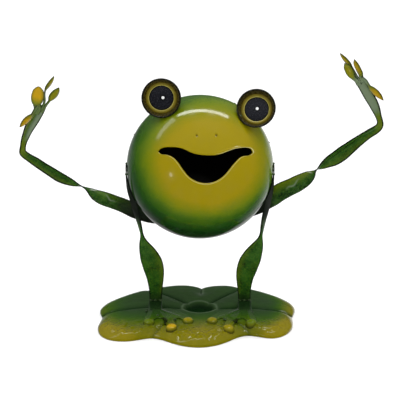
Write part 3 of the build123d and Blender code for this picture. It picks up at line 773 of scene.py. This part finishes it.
# Stations of each arm: x, y, z, width, roll, camber, ridge.
ARMS = {
    "left": [
        (-24, 17, 85, 9, 0, 0.4, 0), (-43, 22, 86.5, 13, 0, 1.2, 0.2),
        (-60.2, 22, 92.7, 13.6, 0, 2, 0.4), (-71.8, 20.6, 98.2, 13, 0, 2.4, 0.5),
        (-83.5, 19.1, 103, 12.2, 4, 2.4, 0.4), (-89.2, 18.4, 105.8, 10.4, 14, 1.6, 0.2),
        (-94.3, 17.7, 109.4, 7.2, 42, 0.6, 0), (-99.9, 17, 113.3, 4.2, 90, 0.1, 0),
        (-107, 15.9, 116.4, 6.6, 140, 0.8, 0), (-115.3, 14.7, 120.4, 8.9, 168, 1.8, 0),
        (-122.5, 13.6, 124.8, 9.4, 178, 2.2, 0), (-129.4, 12.4, 129.6, 9, 180, 2.1, 0),
        (-136.1, 11.3, 134.7, 8.2, 180, 1.6, 0), (-142.8, 10.1, 139.6, 7.4, 180, 1, 0),
        (-148, 9.4, 143.4, 6.8, 186, 0.5, 0), (-150.4, 9, 146.2, 6.4, 196, 0.2, 0),
        (-150.4, 8.6, 149.6, 5.8, 208, 0.4, 0), (-149.2, 8.2, 155, 6, 214, 0.6, 0),
        (-147, 7.4, 160.8, 7.8, 218, 0.9, 0), (-144.2, 6.7, 167, 9.8, 218, 1.3, 0),
        (-140.6, 5.9, 173.2, 10.8, 218, 1.5, 0), (-136.9, 5.2, 179, 10.4, 218, 1.3, 0),
        (-133.6, 4.5, 184.6, 9.6, 216, 0.8, 0), (-131.9, 4.2, 187.6, 8.4, 214, 0.4, 0),
    ],
    "right": [
        (26, 17, 89, 10, 0, 0.4, 0), (43.5, 22, 93.5, 16, 0, 1.3, 0.2),
        (60.9, 22, 102.4, 16.6, 0, 2.2, 0.4), (71.8, 20.6, 109.6, 15.8, 0, 2.5, 0.5),
        (83, 19.1, 115.8, 14.6, 0, 2.5, 0.5), (88.6, 18.4, 119, 13.4, 4, 2, 0.3),
        (93.8, 17.7, 122.6, 10.4, 20, 1.2, 0.1), (97.4, 17.3, 125.8, 6.8, 52, 0.4, 0),
        (99.5, 17, 128.4, 4.2, 90, 0.1, 0), (102.6, 16.6, 130.8, 6.6, 130, 0.4, 0),
        (106.8, 16, 133.8, 9.4, 154, 1.2, 0.6), (112.9, 15, 137.9, 11.8, 172, 2, 1.3),
        (119.5, 14, 142.6, 12.6, 180, 2.2, 1.5), (125.6, 13, 147.9, 11.6, 180, 2, 1.4),
        (131.7, 12, 153.2, 10.2, 180, 1.6, 1.1), (137.8, 11, 158.2, 9, 180, 1.2, 0.6),
        (144.1, 10, 162.8, 8, 180, 0.7, 0), (149.2, 9.3, 166.4, 7.4, 186, 0.4, 0),
        (151.6, 9, 169.6, 6.6, 196, 0.2, 0), (151.6, 8.6, 173.2, 6, 208, 0.4, 0),
        (150, 8.2, 178, 6.6, 214, 0.6, 0), (147.4, 7.4, 184.2, 9, 218, 0.9, 0),
        (144.3, 6.7, 190.4, 10.6, 218, 1.3, 0), (140.6, 5.9, 196.4, 10.6, 218, 1.5, 0),
        (136.9, 5.2, 202.4, 10, 218, 1.3, 0), (133.4, 4.5, 208.2, 9.4, 216, 0.8, 0),
        (131.6, 4.2, 211.2, 8.6, 214, 0.4, 0),
    ],
}
PALM_START = {"left": 17, "right": 20}      # first station of the palm
# Painted highlight line on each upper arm: first and last x, height across the strap at both.
PAINTED_HIGHLIGHT_LINES = {"left": (-84.5, -73.0, 0.55, 0.05), "right": (74.0, 88.0, -0.05, 0.35)}
WRINKLES = {"left": (-70.0, -82.0, -0.1, 0.5, 0.9), "right": (72.0, 84.0, 0.1, -0.5, 0.9)}
# Looks of each arm: noise seed, x where the painted shade near the ball begins and is full, strength
# of the olive overspray, where the palm's painted grey sheen begins and is full, painted sheen of the finger
# stems, painted highlight along the ridge.
ARM_LOOKS = {
    "left": (3, (80, 58), 0.2, (-2.0, 1.5), 0.35, 0.0),
    "right": (4, (68, 54), 0.6, (-5.0, -1.0), 0.9, 0.5),
}

# Fingers: share along the palm, sideways offset, pad centre, length, width, facing, warmth, stem width,
# roundness of the pad's ends.
FINGERS = {
    "left": [
        (0.96, -3.4, (-145.0, -1.5, 176.2), 15.0, 9.0, (0.66, -0.55, -0.50), 0.80, 3.4, 0.8),
        (0.84, -2.2, (-135.0, 1.0, 196.6), 15.0, 10.2, (-0.10, -1.0, 0.05), 0.78, 6.4, 0.45),
        (0.97, 1.0, (-125.9, 9.0, 205.2), 14.0, 8.0, (0.80, -0.36, -0.45), 0.30, 2.8, 0.75),
        (0.92, 2.8, (-121.8, 5.0, 196.9), 14.2, 8.6, (0.50, -0.70, -0.45), 0.05, 2.8, 0.7),
    ],
    "right": [
        (0.94, 3.4, (146.0, -1.5, 199.6), 17.0, 9.4, (-0.66, -0.52, -0.50), 0.70, 3.4, 0.8),
        (0.92, 2.1, (130.6, 1.5, 219.8), 15.8, 8.8, (-0.78, -0.42, -0.42), 0.55, 4.6, 0.75),
        (0.97, -0.8, (121.6, 8.0, 224.8), 15.0, 8.4, (-0.74, -0.40, -0.56), 0.45, 3.2, 0.75),
        (0.90, -2.6, (123.9, 5.0, 216.9), 14.2, 7.4, (-0.45, -0.80, -0.20), 0.15, 4.8, 0.65),
    ],
}


def finger(palm, sheen, share, offset, pad, length, width, facing, warm, stalk, ends):
    """One finger: a stem that leaves the palm and swells into a domed spade-shaped pad."""
    row = share * (len(palm) - 1)
    low = min(int(row), len(palm) - 2)
    spot = palm[low] + (palm[low + 1] - palm[low]) * (row - low)
    tangent, across, normal = strap_axes(palm[:, :3], palm[:, 4])
    start = spot[:3] + across[low] * offset
    middle, facing = np.array(pad), unit(np.array(facing))
    along = unit(middle - start)
    along = unit(along - facing * along.dot(facing))
    heel = middle - along * length / 2
    tip = middle + along * length / 2
    lead = np.linalg.norm(heel - start)
    root = start - tangent[low] * min(3.0, lead * 0.4)
    knee = start + tangent[low] * lead * 0.35
    path = spline([root, start, knee * 0.5 + (start + heel) * 0.25, heel, middle, tip], FINGER_ROWS)[:, :3]
    reach = np.linalg.norm(path - heel, axis=1) * np.sign((path - heel) @ along)
    u = np.clip(reach / length, 0, 1)
    round_ends = np.clip(1 - (2 * u - 1) ** 2, 0, 1)
    oval = width * round_ends**ends * (1 + 0.10 * (1 - 2 * u))
    stem = stalk + 0.8 * smoothstep(6, 0, np.linalg.norm(path - root, axis=1))
    stem = stem * smoothstep(1.02, 0.75, u)
    wide = (oval**3 + stem**3) ** (1 / 3)
    facing_from = normal[low] if normal[low].dot(facing) > 0 else -normal[low]
    blend = smoothstep(0.0, 0.9, np.linspace(0, 1, FINGER_ROWS) * 1.6)[:, None]
    face = unit(facing_from * (1 - blend) + facing * blend)
    run = unit(np.gradient(path, axis=0))
    side = unit(np.cross(face, run))
    face = np.cross(run, side)
    s = np.linspace(-1, 1, FINGER_COLS)
    half = np.maximum(wide / 2 - SHEET / 2, 0.05)
    grid = path[:, None] + side[:, None] * (s[None] * half[:, None])[..., None]
    swell = (smoothstep(0.0, 0.25, u) * np.sqrt(round_ends))[:, None] * (1 - s[None] ** 2)
    grid = grid + face[:, None] * (0.5 * swell)[..., None]
    thick = 0.9 + 0.9 * swell
    tip_value = smoothstep(-0.25, 0.2, reach / length)[:, None] + 0 * s[None]
    edge = (1 - np.abs(s))[None] * half[:, None]
    return sheet(grid, thick, values={
        "edge": np.minimum(edge + 0.35, 5),
        "tip": tip_value * (0.45 + 0.55 * smoothstep(0, 2.6, edge)),
        "warm": np.full(grid.shape[:2], warm) * smoothstep(0.0, 0.5, u)[:, None],
        "olive": 0.35 * (1 - tip_value),
        "sheen": sheen * (1 - tip_value),
    })


def arm(side):
    """One arm: a single strap from the ball to the palm, and four fingers."""
    stations = np.array(ARMS[side], float)
    if side == "right":
        stations[:, 4] *= -1
    rows = spline(stations, ARM_ROWS)
    rows[:, 3] = np.maximum(rows[:, 3], 2.4)
    seed, shade_from, olive_share, sheen_from, stem_sheen, ridge_highlight = ARM_LOOKS[side]
    grid, s, edge = strap_grid(rows, 0.35, seed, WRINKLES[side])
    palm_row = np.argmin(np.linalg.norm(rows[:, :3] - stations[PALM_START[side], :3], axis=1))
    twist = stations[np.argmin(np.abs(np.abs(stations[:, 4]) - 90)), :3]
    twist_row = np.argmin(np.linalg.norm(rows[:, :3] - twist, axis=1))
    row = np.arange(len(rows))[:, None] + 0 * s[None]
    on_upper = smoothstep(twist_row + 4, twist_row - 4, row)
    on_palm = smoothstep(palm_row - 2, palm_row + 16, row)
    wrist = smoothstep(palm_row - 34, palm_row - 12, row) * (1 - on_palm)
    upward = (grid[..., 2] - rows[:, 2:3]) / np.maximum(rows[:, 3:4] / 2, 1)
    inward = np.abs(rows[:, 0:1]) - np.abs(grid[..., 0])
    near_ball = smoothstep(*shade_from, np.abs(grid[..., 0])) * on_upper
    on_fore = (1 - on_upper) * (1 - on_palm) * (1 - wrist)
    olive = olive_share * smoothstep(-0.2, 0.9, upward) * on_upper
    olive = olive + 0.25 * on_fore * smoothstep(0.3, -0.8, upward) + 0.55 * wrist
    olive = olive + 0.45 * on_palm * smoothstep(0.5, -2.5, inward)
    # Painted highlights: a thin light line along each upper arm and along the right forearm's ridge crest;
    # the palm gets a painted grey sheen.
    share, line = wavy_line(rows[:, 0:1], *PAINTED_HIGHLIGHT_LINES[side], 9)
    painted_highlight = 0.8 * np.sin(share * math.pi) * on_upper * bump_at(upward - line, 0.09)
    painted_highlight = painted_highlight + ridge_highlight * on_fore * bump_at(s[None] + RIDGE_SIDE, 0.06)
    values = {
        "edge": edge,
        "olive": olive,
        "shade": np.clip(0.75 * near_ball + 0.25 * on_upper * smoothstep(0.2, -0.9, upward), 0, 1),
        "sheen": painted_highlight + on_palm * smoothstep(*sheen_from, inward),
    }
    parts = [sheet(grid, SHEET, values=values)]
    route = spline(stations[PALM_START[side] :], 60)
    for data in FINGERS[side]:
        parts.append(finger(route, stem_sheen, *data))
    return merge(*parts)


LEG_STATIONS = [
    (-62.3, 0, 138, 12, 88, 0, 0), (-62.4, 0, 131, 12.6, 86, 0, 0),
    (-61.6, 0, 123.8, 13, 79, 0.1, 0), (-59.2, -0.3, 113.5, 12.8, 66, 0.2, 0),
    (-57, -0.8, 106.8, 12.2, 61, 0.3, 0), (-54.8, -1.2, 98, 10.8, 59, 0.5, 0),
    (-52.4, -1.7, 89.2, 8.6, 59, 0.4, 0), (-50.7, -2.1, 82, 6.2, 58, 0.3, 0),
    (-49.5, -2.5, 76.5, 4.6, 48, 0.2, 0), (-48.3, -2.5, 70.5, 8, 22, 0.5, 0),
    (-44.6, -2, 60, 15.2, 4, 1, 0.3), (-40.8, 0.5, 48.8, 18, 0, 1.3, 0.4),
    (-38.8, 3, 36, 15.2, 0, 1.2, 0.3), (-38.6, 5.5, 24, 11.6, 0, 0.6, 0),
    (-38.8, 7.8, 14.2, 10.8, 0, 0.3, 0),
]
KNEE = (78.0, 42.0)          # height of the knee, and how far its lean spreads
KNEE_LEAN = {"left": 0.0, "right": 2.6}


def leg(side):
    """One leg: thigh edge-on, quarter twist at the knee, cupped leaf-shaped calf."""
    stations = np.array(LEG_STATIONS, float)
    stations[:, 0] -= KNEE_LEAN[side] * np.clip(1 - np.abs(stations[:, 2] - KNEE[0]) / KNEE[1], 0, 1)
    if side == "right":
        stations[:, 0] *= -1
        stations[:, 4] *= -1
    rows = spline(stations, LEG_ROWS)
    grid, _, edge = strap_grid(rows, 0.25, 6 if side == "left" else 7)
    low = smoothstep(26, 14, grid[..., 2])
    high = smoothstep(80, 96, grid[..., 2])
    inward = (grid[..., 0] - rows[:, 0:1]) * (1 if side == "left" else -1)
    inner = smoothstep(0.2, 1.0, inward / np.maximum(rows[:, 3:4] / 2, 1))
    values = {
        "edge": edge,
        "olive": 0.30 * inner * (1 - low) * (1 - high),
        "shade": np.maximum(0.5 * low, 0.95 * high),
    }
    return sheet(grid, SHEET, values=values)


# ---- Lily pad -----------------------------------------------------------------------------

PAD_MIDDLE = np.array([-0.5, 1.0])
PAD_OUTLINE = [(80.2, -2.0), (83.6, 18.0), (70.0, 41.5), (48.0, 59.5), (23.0, 68.5), (2.0, 65.0),
               (-16.0, 69.0), (-36.0, 65.0), (-59.5, 51.5), (-78.0, 33.0), (-87.8, 12.0), (-85.2, -1.0),
               (-86.8, -28.0), (-75.2, -52.5), (-58.0, -54.5), (-40.5, -48.5), (-22.0, -60.5),
               (-1.5, -69.0), (21.0, -58.5), (41.5, -42.5), (60.0, -48.5), (78.6, -26.0)]
# Grooves between lobes: direction from the middle, depth, start, half width, bend to the left.
GROOVES = [(358.0, 6.4, 12.0, 12.0, 4.0), (56.0, 4.6, 12.0, 13.0, 0.0), (88.0, 3.0, 30.0, 13.0, 0.0),
           (129.0, 4.8, 12.0, 13.0, 0.0), (181.5, 6.4, 12.0, 12.0, -6.0), (232.0, 3.2, 38.0, 11.0, 0.0),
           (314.0, 3.2, 34.0, 11.0, 0.0)]
BACK_GROOVES = 5             # how many of them, from the first, have a painted highlight along their crest
# Distance from the middle, and height of the lobes there.
PAD_PROFILE = ([0, 12, 22, 34, 48, 62, 78, 110], [8.4, 9.2, 9.9, 10.0, 9.6, 8.9, 8.0, 6.0])
HOLLOW = 13.5                # radius of the round hollow in the middle
HOLLOW_DEPTH = 5.6
DENT = 1.4                   # height of the hammered dents on the front lobes
SMALL_DENT = 0.9
FRONT_DROP = 1.4             # how far the front lobes slope down
PAD_COLS = 600
RIM_ROLL = 15.0              # how far in from the rim the pillow edge begins


def rim_table():
    """Directions from the pad's middle in order, and the rim's distance in each."""
    rim = spline([(x, y, 0) for x, y in PAD_OUTLINE], 1440, closed=True)[:, :2] - PAD_MIDDLE
    angles = np.arctan2(rim[:, 1], rim[:, 0])
    order = np.argsort(angles)
    return angles[order], np.linalg.norm(rim, axis=1)[order]


RIM_ANGLES, RIM_REACH = rim_table()


def rim_reach(angle):
    """Distance of the rim from the pad's middle in some directions, in mm."""
    return np.interp(angle, RIM_ANGLES, RIM_REACH, period=2 * math.pi)


def beside_groove(dx, dy, angle, start, bend):
    """Distance along a groove, and off its middle line, of points given from the pad's middle."""
    c, s = math.cos(math.radians(angle)), math.sin(math.radians(angle))
    along = dx * c + dy * s
    bow = bend * np.sin(np.clip((along - start) / 65, 0, 1) * math.pi)
    return along, dy * c - dx * s - bow


def pad_pinch(dx, dy):
    """Depth of the grooves at points given from the pad's middle, in mm."""
    pinch = np.zeros_like(dx)
    for angle, depth, start, half, bend in GROOVES:
        along, off = beside_groove(dx, dy, angle, start, bend)
        share = np.clip(1 - np.abs(off) / half, 0, 1)
        deep = smoothstep(start - 6, start + 12, along) * depth
        pinch = np.maximum(pinch, deep * (1 - np.sqrt(1 - share**2)))
    return pinch


def fold_crest(dx, dy):
    """Painted highlight along the near side of each groove that runs to the back or to the sides."""
    crest = np.zeros_like(dx)
    for angle, _, start, _, bend in GROOVES[:BACK_GROOVES]:
        along, off = beside_groove(dx, dy, angle, start, bend)
        near = off * (1 if 90 < angle < 270 else -1)
        crest = np.maximum(crest, bump_at(near - 2.0, 0.8) * smoothstep(start, start + 6, along))
    return crest


def pad_height(x, y):
    """Height of the pad's pressed top at some points, in mm."""
    dx, dy = x - PAD_MIDDLE[0], y - PAD_MIDDLE[1]
    reach = np.hypot(dx, dy)
    height = np.interp(reach, *PAD_PROFILE) - FRONT_DROP * smoothstep(-24, -52, y) - pad_pinch(dx, dy)
    oval = reach / HOLLOW
    height = height - HOLLOW_DEPTH * smoothstep(1.04, 0.70, oval) + 0.25 * bump_at(oval - 1.14, 0.12)
    inset = np.clip((rim_reach(np.arctan2(dy, dx)) - reach) / RIM_ROLL, 0, 1)
    return SHEET / 2 + (height - SHEET / 2) * np.clip(1 - (1 - inset) ** 2.6, 0, 1) ** 0.62


def pad_warmth(y):
    """Share of the golden front paint, which fades in towards the front."""
    return 0.12 + 0.80 * smoothstep(-6, -56, y)


def lily_pad():
    """Pressed leaf: puffed lobes between radial grooves, rolled rim down to the floor, hammered."""
    turn = np.linspace(-math.pi, math.pi, PAD_COLS, endpoint=False)
    rim = rim_reach(turn) - SHEET / 2 - 0.05
    edge_shares = 0.80 + 0.20 * np.sin(np.linspace(0, math.pi / 2, 44))
    shares = np.concatenate([np.linspace(0.02, 0.80, 80)[:-1], edge_shares])
    reach = shares[:, None] * rim[None]
    x = PAD_MIDDLE[0] + reach * np.cos(turn)[None]
    y = PAD_MIDDLE[1] + reach * np.sin(turn)[None]
    z = pad_height(x, y)
    flat = np.stack([x, y, 0 * x], 2)
    front = smoothstep(-14, -40, y)
    dents = (0.08 + DENT * front * smoothstep(0.35, 0.8, shares)[:, None]) * noise_at(flat, 6.0, 11)
    small = SMALL_DENT * front * smoothstep(0.55, 0.85, shares)[:, None] * noise_at(flat, 2.8, 12)
    calm = smoothstep(1.0, 0.93, shares)[:, None]
    grid = np.stack([x, y, z + calm * (dents + small)], 2)
    skirt = grid[-1].copy()
    skirt[:, 2] = SHEET / 2
    grid = np.vstack([grid, skirt[None]])
    dx, dy = grid[..., 0] - PAD_MIDDLE[0], grid[..., 1] - PAD_MIDDLE[1]
    pinch = pad_pinch(dx, dy)
    oval = np.hypot(dx, dy) / HOLLOW
    share = np.hypot(dx, dy) / rim_reach(np.arctan2(dy, dx))
    sides = smoothstep(46, 84, np.abs(dx)) * smoothstep(62, 26, dy) * np.where(dx > 0, 0.80, 0.42)
    fold = fold_crest(dx, dy) * smoothstep(0.98, 0.86, share)
    values = {
        "warm": pad_warmth(grid[..., 1]) + sides * smoothstep(0.66, 1.0, share),
        # painted shade in the grooves and in the middle hollow
        "groove": np.maximum(smoothstep(1.0, 4.0, pinch) * 0.8, 0.9 * smoothstep(0.98, 0.84, oval)),
        # painted highlight along the fold crests and round the hollow's rim
        "crest": np.maximum(0.9 * bump_at(oval - 1.13, 0.07), 0.7 * fold),
    }
    return sheet(grid, SHEET, wrap=True, values=values, cap_first=True)


# ---- Feet ---------------------------------------------------------------------------------

TOE_LINE = [(-44.2, -8.0), (-45.4, -20.0), (-46.4, -33.0), (-43.6, -37.0), (-40.4, -33.0), (-35.6, -27.5),
            (-30.8, -29.5), (-27.0, -42.0), (-23.8, -47.5), (-20.6, -42.0), (-21.2, -30.0), (-17.6, -29.0),
            (-12.6, -35.0), (-8.4, -35.6), (-8.4, -31.0), (-20.5, -13.0), (-33.6, -8.0)]
TOES = {
    "left": [(-43.2, -35.5, 0.05), (-23.8, -45.8, 1.0), (-10.2, -34.6, 0.45)],
    "right": [(-43.2, -35.5, 0.0), (-23.8, -45.8, 0.45), (-10.2, -34.6, 0.40)],
}
TOE_RADIUS = 4.5
TOE_RISE = 2.6
TOE_EDGE = 8                 # rows round the outer edge of a toe's end
HEEL = (-44.2, -33.6, 9.0, -8.0, 13.1)  # outer x, inner x, back y, front y, height of its middle
TOE_ROOT = np.array([-38.9, -6.0])      # where the ribs of the toes meet
SCALLOP = (-31.5, -33.5)     # middle of the painted shade in the scallop between the two outer toes
WEB_STEPS = 181
TOE_GAUGE = 0.7              # thickness of the pressed toe ends, mm


def toe_dome(x, y, tone):
    """Domed end of one toe, a disc pressed up from the sheet."""
    edge_radii = TOE_RADIUS - 0.5 * np.cos(np.linspace(0.3, 2.2, TOE_EDGE))
    radii = np.concatenate([np.linspace(0.2, TOE_RADIUS - 0.5, 14), edge_radii])
    turn = np.linspace(0, 2 * math.pi, 48, endpoint=False)
    rise = TOE_RISE * np.clip(1 - (radii / (TOE_RADIUS + 0.15)) ** 2, 0, 1) ** 0.6
    rise[-TOE_EDGE:] -= np.linspace(0.1, 1.6, TOE_EDGE)
    px = x + radii[:, None] * np.cos(turn)[None]
    py = y + radii[:, None] * np.sin(turn)[None] * 1.08
    base = 0.6 * pad_height(np.array(x), np.array(y)) + 0.4 * pad_height(px, py) + 0.9
    grid = np.stack([px, py, base + rise[:, None]], 2)
    flat = np.ones(grid.shape[:2])
    return sheet(grid, TOE_GAUGE, wrap=True, cap_first=True, values={
        "edge": 9 * flat,
        "warm": pad_warmth(py),
        "tip": smoothstep(TOE_RADIUS, TOE_RADIUS - 1.6, radii)[:, None] * flat,
        "tone": tone * flat,
        # painted shade round the edge of the dome
        "scallop": 0.7 * smoothstep(TOE_RADIUS - 0.5, TOE_RADIUS + 0.2, radii)[:, None] * flat,
    })


def foot(side):
    """Foot: raised heel strip, web that lies on the pad, three toes with domed ends."""
    line = spline([(x, y, 0) for x, y in TOE_LINE], WEB_STEPS)[:, :2]
    outer_x, inner_x, back_y, front_y, high = HEEL
    across = np.linspace(0, 1, WEB_STEPS)
    ease = smoothstep(0.0, 1.0, across) * 0.6 + across * 0.4
    start = np.stack([outer_x + (inner_x - outer_x) * ease, np.full(WEB_STEPS, front_y)], 1)
    reach = np.linspace(0.0, 1.0, 56)[1:, None, None]
    web = start[None] * (1 - reach) + line[None] * reach
    heel = [np.stack([start[:, 0], np.full(WEB_STEPS, y)], 1) for y in np.linspace(back_y, front_y, 26)]
    flat = np.vstack([np.array(heel), web])
    x, y = flat[..., 0], flat[..., 1]
    mirror = 1 if side == "left" else -1
    on_pad = pad_height(x * mirror, y) + SHEET
    climb = smoothstep(front_y, back_y - 3, y)
    z = np.where(y > front_y, on_pad * (1 - climb) + high * climb, on_pad)
    for toe_x, toe_y, _ in TOES[side]:
        run = np.array([toe_x, toe_y]) - TOE_ROOT
        length = np.linalg.norm(run)
        run = run / length
        along = (x - TOE_ROOT[0]) * run[0] + (y - TOE_ROOT[1]) * run[1]
        off = (x - TOE_ROOT[0]) * run[1] - (y - TOE_ROOT[1]) * run[0]
        z = z + 0.5 * bump_at(off, 2.0) * smoothstep(0, 8, along) * smoothstep(length, length - 5, along)
    away = np.hypot(x - SCALLOP[0], (y - SCALLOP[1]) * 0.8)
    grid = np.stack([x * mirror, y, z], 2)
    steps = np.linspace(1, 0, flat.shape[0])[:, None]
    web_sheet = sheet(grid, SHEET, values={
        "edge": 12 * steps + 0.5 + 0 * x,
        "warm": pad_warmth(y),
        "shade": 0.85 * smoothstep(-18, 2, y),
        "scallop": 0.9 * smoothstep(5.2, 3.0, away),
    })
    return merge(web_sheet, *(toe_dome(toe_x * mirror, toe_y, tone) for toe_x, toe_y, tone in TOES[side]))


# ---- Weld beads ---------------------------------------------------------------------------

def bead(centre, radius, seed):
    """One lumpy weld bead."""
    work = bmesh.new()
    bmesh.ops.create_icosphere(work, subdivisions=3, radius=1.0)
    points = np.array([v.co for v in work.verts])
    faces = [tuple(v.index for v in f.verts) for f in work.faces]
    work.free()
    lumps = noise_at(points, 0.9, seed) * 0.22 + noise_at(points, 0.4, seed + 50) * 0.08
    points = points * (1 + lumps)[:, None] * radius * np.array([1.15, 0.95, 0.9]) + centre
    return points, faces, {}


def node_islands(node):
    """Middle of each separate solid of a CAD node, in mm."""
    work = bmesh.new()
    work.from_mesh(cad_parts[node].data)
    bmesh.ops.remove_doubles(work, verts=work.verts, dist=1e-6)
    left, middles = set(work.verts), []
    while left:
        stack, island = [left.pop()], []
        while stack:
            vertex = stack.pop()
            island.append(vertex.co.copy())
            for e in vertex.link_edges:
                other = e.other_vert(vertex)
                if other in left:
                    left.remove(other)
                    stack.append(other)
        points = np.array(island)
        middles.append((points.min(0) + points.max(0)) / 2 / MM)
    work.free()
    return sorted(middles, key=lambda m: (round(m[0], 2), round(m[2], 2), round(m[1], 2)))


def beads(node, radius):
    """All the beads of one CAD node of weld tacks."""
    return merge(*(bead(middle, radius, 100 + 7 * i) for i, middle in enumerate(node_islands(node))))


# ---- Assembly -----------------------------------------------------------------------------

PAINTS = {
    "ball_paint": ball_paint(),
    "limb_paint": limb_paint(),
    "pad_paint": pad_paint(),
    "foot_paint": foot_paint(),
    "eye_bowl_paint": eye_bowl_paint(),
    "eye_ring_paint": eye_ring_paint(),
    "pupil_paint": pupil_paint(),
    "weld": weld_paint(),
}
BEAD_RADII = {"seam_tacks": 1.0, "eye_tacks": 1.3, "shoulder_tacks": 1.5, "hip_tacks": 1.0,
              "ankle_tacks": 1.35, "toe_tacks": 1.2}

piece("ball_face", face_dome(), "ball_paint", "face_dome")
piece("ball_back", back_dome(), "ball_paint", "back_dome")
for side in ("left", "right"):
    piece(f"{side}_bowl", eye_bowl(side), "eye_bowl_paint", f"{side}_eye_cup")
    piece(f"{side}_dish", eye_dish(side), "eye_ring_paint", f"{side}_eye_dish")
    piece(f"{side}_disc", pupil(side), "pupil_paint", f"{side}_pupil")
    piece(f"{side}_arm_strap", arm(side), "limb_paint", f"{side}_arm")
    piece(f"{side}_leg_strap", leg(side), "limb_paint", f"{side}_leg")
    piece(f"{side}_web_foot", foot(side), "limb_paint", f"{side}_foot", PAINTS["foot_paint"])
piece("pad_leaf", lily_pad(), "pad_paint", "lily_pad")
for node, radius in BEAD_RADII.items():
    piece(node.replace("tacks", "beads"), beads(node, radius), "weld", node)


# ---- Floor, light and camera --------------------------------------------------------------

def floor():
    """Plain pale floor, hidden from mirror reflections."""
    work = bmesh.new()
    bmesh.ops.create_grid(work, x_segments=2, y_segments=2, size=6.0)
    mesh = bpy.data.meshes.new("floor")
    work.to_mesh(mesh)
    work.free()
    made = bpy.data.objects.new("floor", mesh)
    bpy.context.scene.collection.objects.link(made)
    p = Paint("floor_paint", roughness=0.9, coat=0.0, coat_roughness=0.06, specular=0.1)
    mesh.materials.append(p.finish((250, 250, 250)))
    made.visible_glossy = False


def light(name, place, turn, size, radiance, seen=True):
    """Rectangular softbox facing down its own -Z; turn is its XYZ rotation in degrees.

    seen says whether it shows in reflections.
    """
    data = bpy.data.lights.new(name, "AREA")
    data.shape = "RECTANGLE"
    data.size, data.size_y = size
    data.energy = math.pi * size[0] * size[1] * radiance
    made = bpy.data.objects.new(name, data)
    made.location = place
    made.rotation_euler = [math.radians(a) for a in turn]
    made.visible_glossy = seen
    bpy.context.scene.collection.objects.link(made)


floor()
light("strip_box", (0.08, 0.0, 1.14), (0, 0, 2), (1.10, 0.13), 8.0)
light("strip_wing", (-1.12, -0.34, 1.12), (0, 0, 22), (1.20, 0.20), 2.2)
light("low_spot", (-0.43, -0.62, 0.03), (80, 0, -35), (0.05, 0.05), 5.0)
light("front_box", (0.5, -0.9, 2.1), (24, 0, 18), (1.6, 1.2), 2.2, seen=False)
light("back_box", (0.0, 2.2, 2.0), (-45, 0, 0), (3.0, 2.0), 1.6, seen=False)

WALL = 0.80                      # brightness of the even white walls that light the scene


def studio():
    """World of white walls, which reflections show as a dark room with a soft glow at the back."""
    world = bpy.data.worlds.new("studio")
    world.use_nodes = True
    nodes = Nodes(world.node_tree)
    x, y, z = nodes.node("SeparateXYZ", nodes.node("TexCoord").outputs["Generated"]).outputs
    sky = nodes.between(z, 0.0, 0.7, 0.02, 0.17)
    glow = nodes.times(nodes.between(y, 0.1, 0.95), nodes.between(z, 0.2, -0.1))
    glow = nodes.times(glow, nodes.between(x, -0.5, 0.5, 0.30, 0.72))
    walls = nodes.node("Value").outputs[0]
    walls.default_value = WALL
    reflected = nodes.node("LightPath").outputs["Is Glossy Ray"]
    seen = nodes.mix(reflected, walls, nodes.add(sky, glow))
    nodes.link(seen, world.node_tree.nodes["Background"].inputs["Color"])
    bpy.context.scene.world = world


studio()
bpy.context.scene.view_settings.view_transform = "Standard"
bpy.context.scene.view_settings.look = "None"

CAMERA_PLACE = Vector((0.0, -1.0600, 0.4008))
CAMERA_AIM = Vector((0.0, 0.0, 0.1068))
camera_data = bpy.data.cameras.new("camera")
camera_data.sensor_width = 36.0
camera_data.lens = 116.5
camera = bpy.data.objects.new("camera", camera_data)
camera.location = CAMERA_PLACE
camera.rotation_mode = "QUATERNION"
camera.rotation_quaternion = (CAMERA_AIM - CAMERA_PLACE).to_track_quat("-Z", "Y")
bpy.context.scene.collection.objects.link(camera)
bpy.context.scene.camera = camera
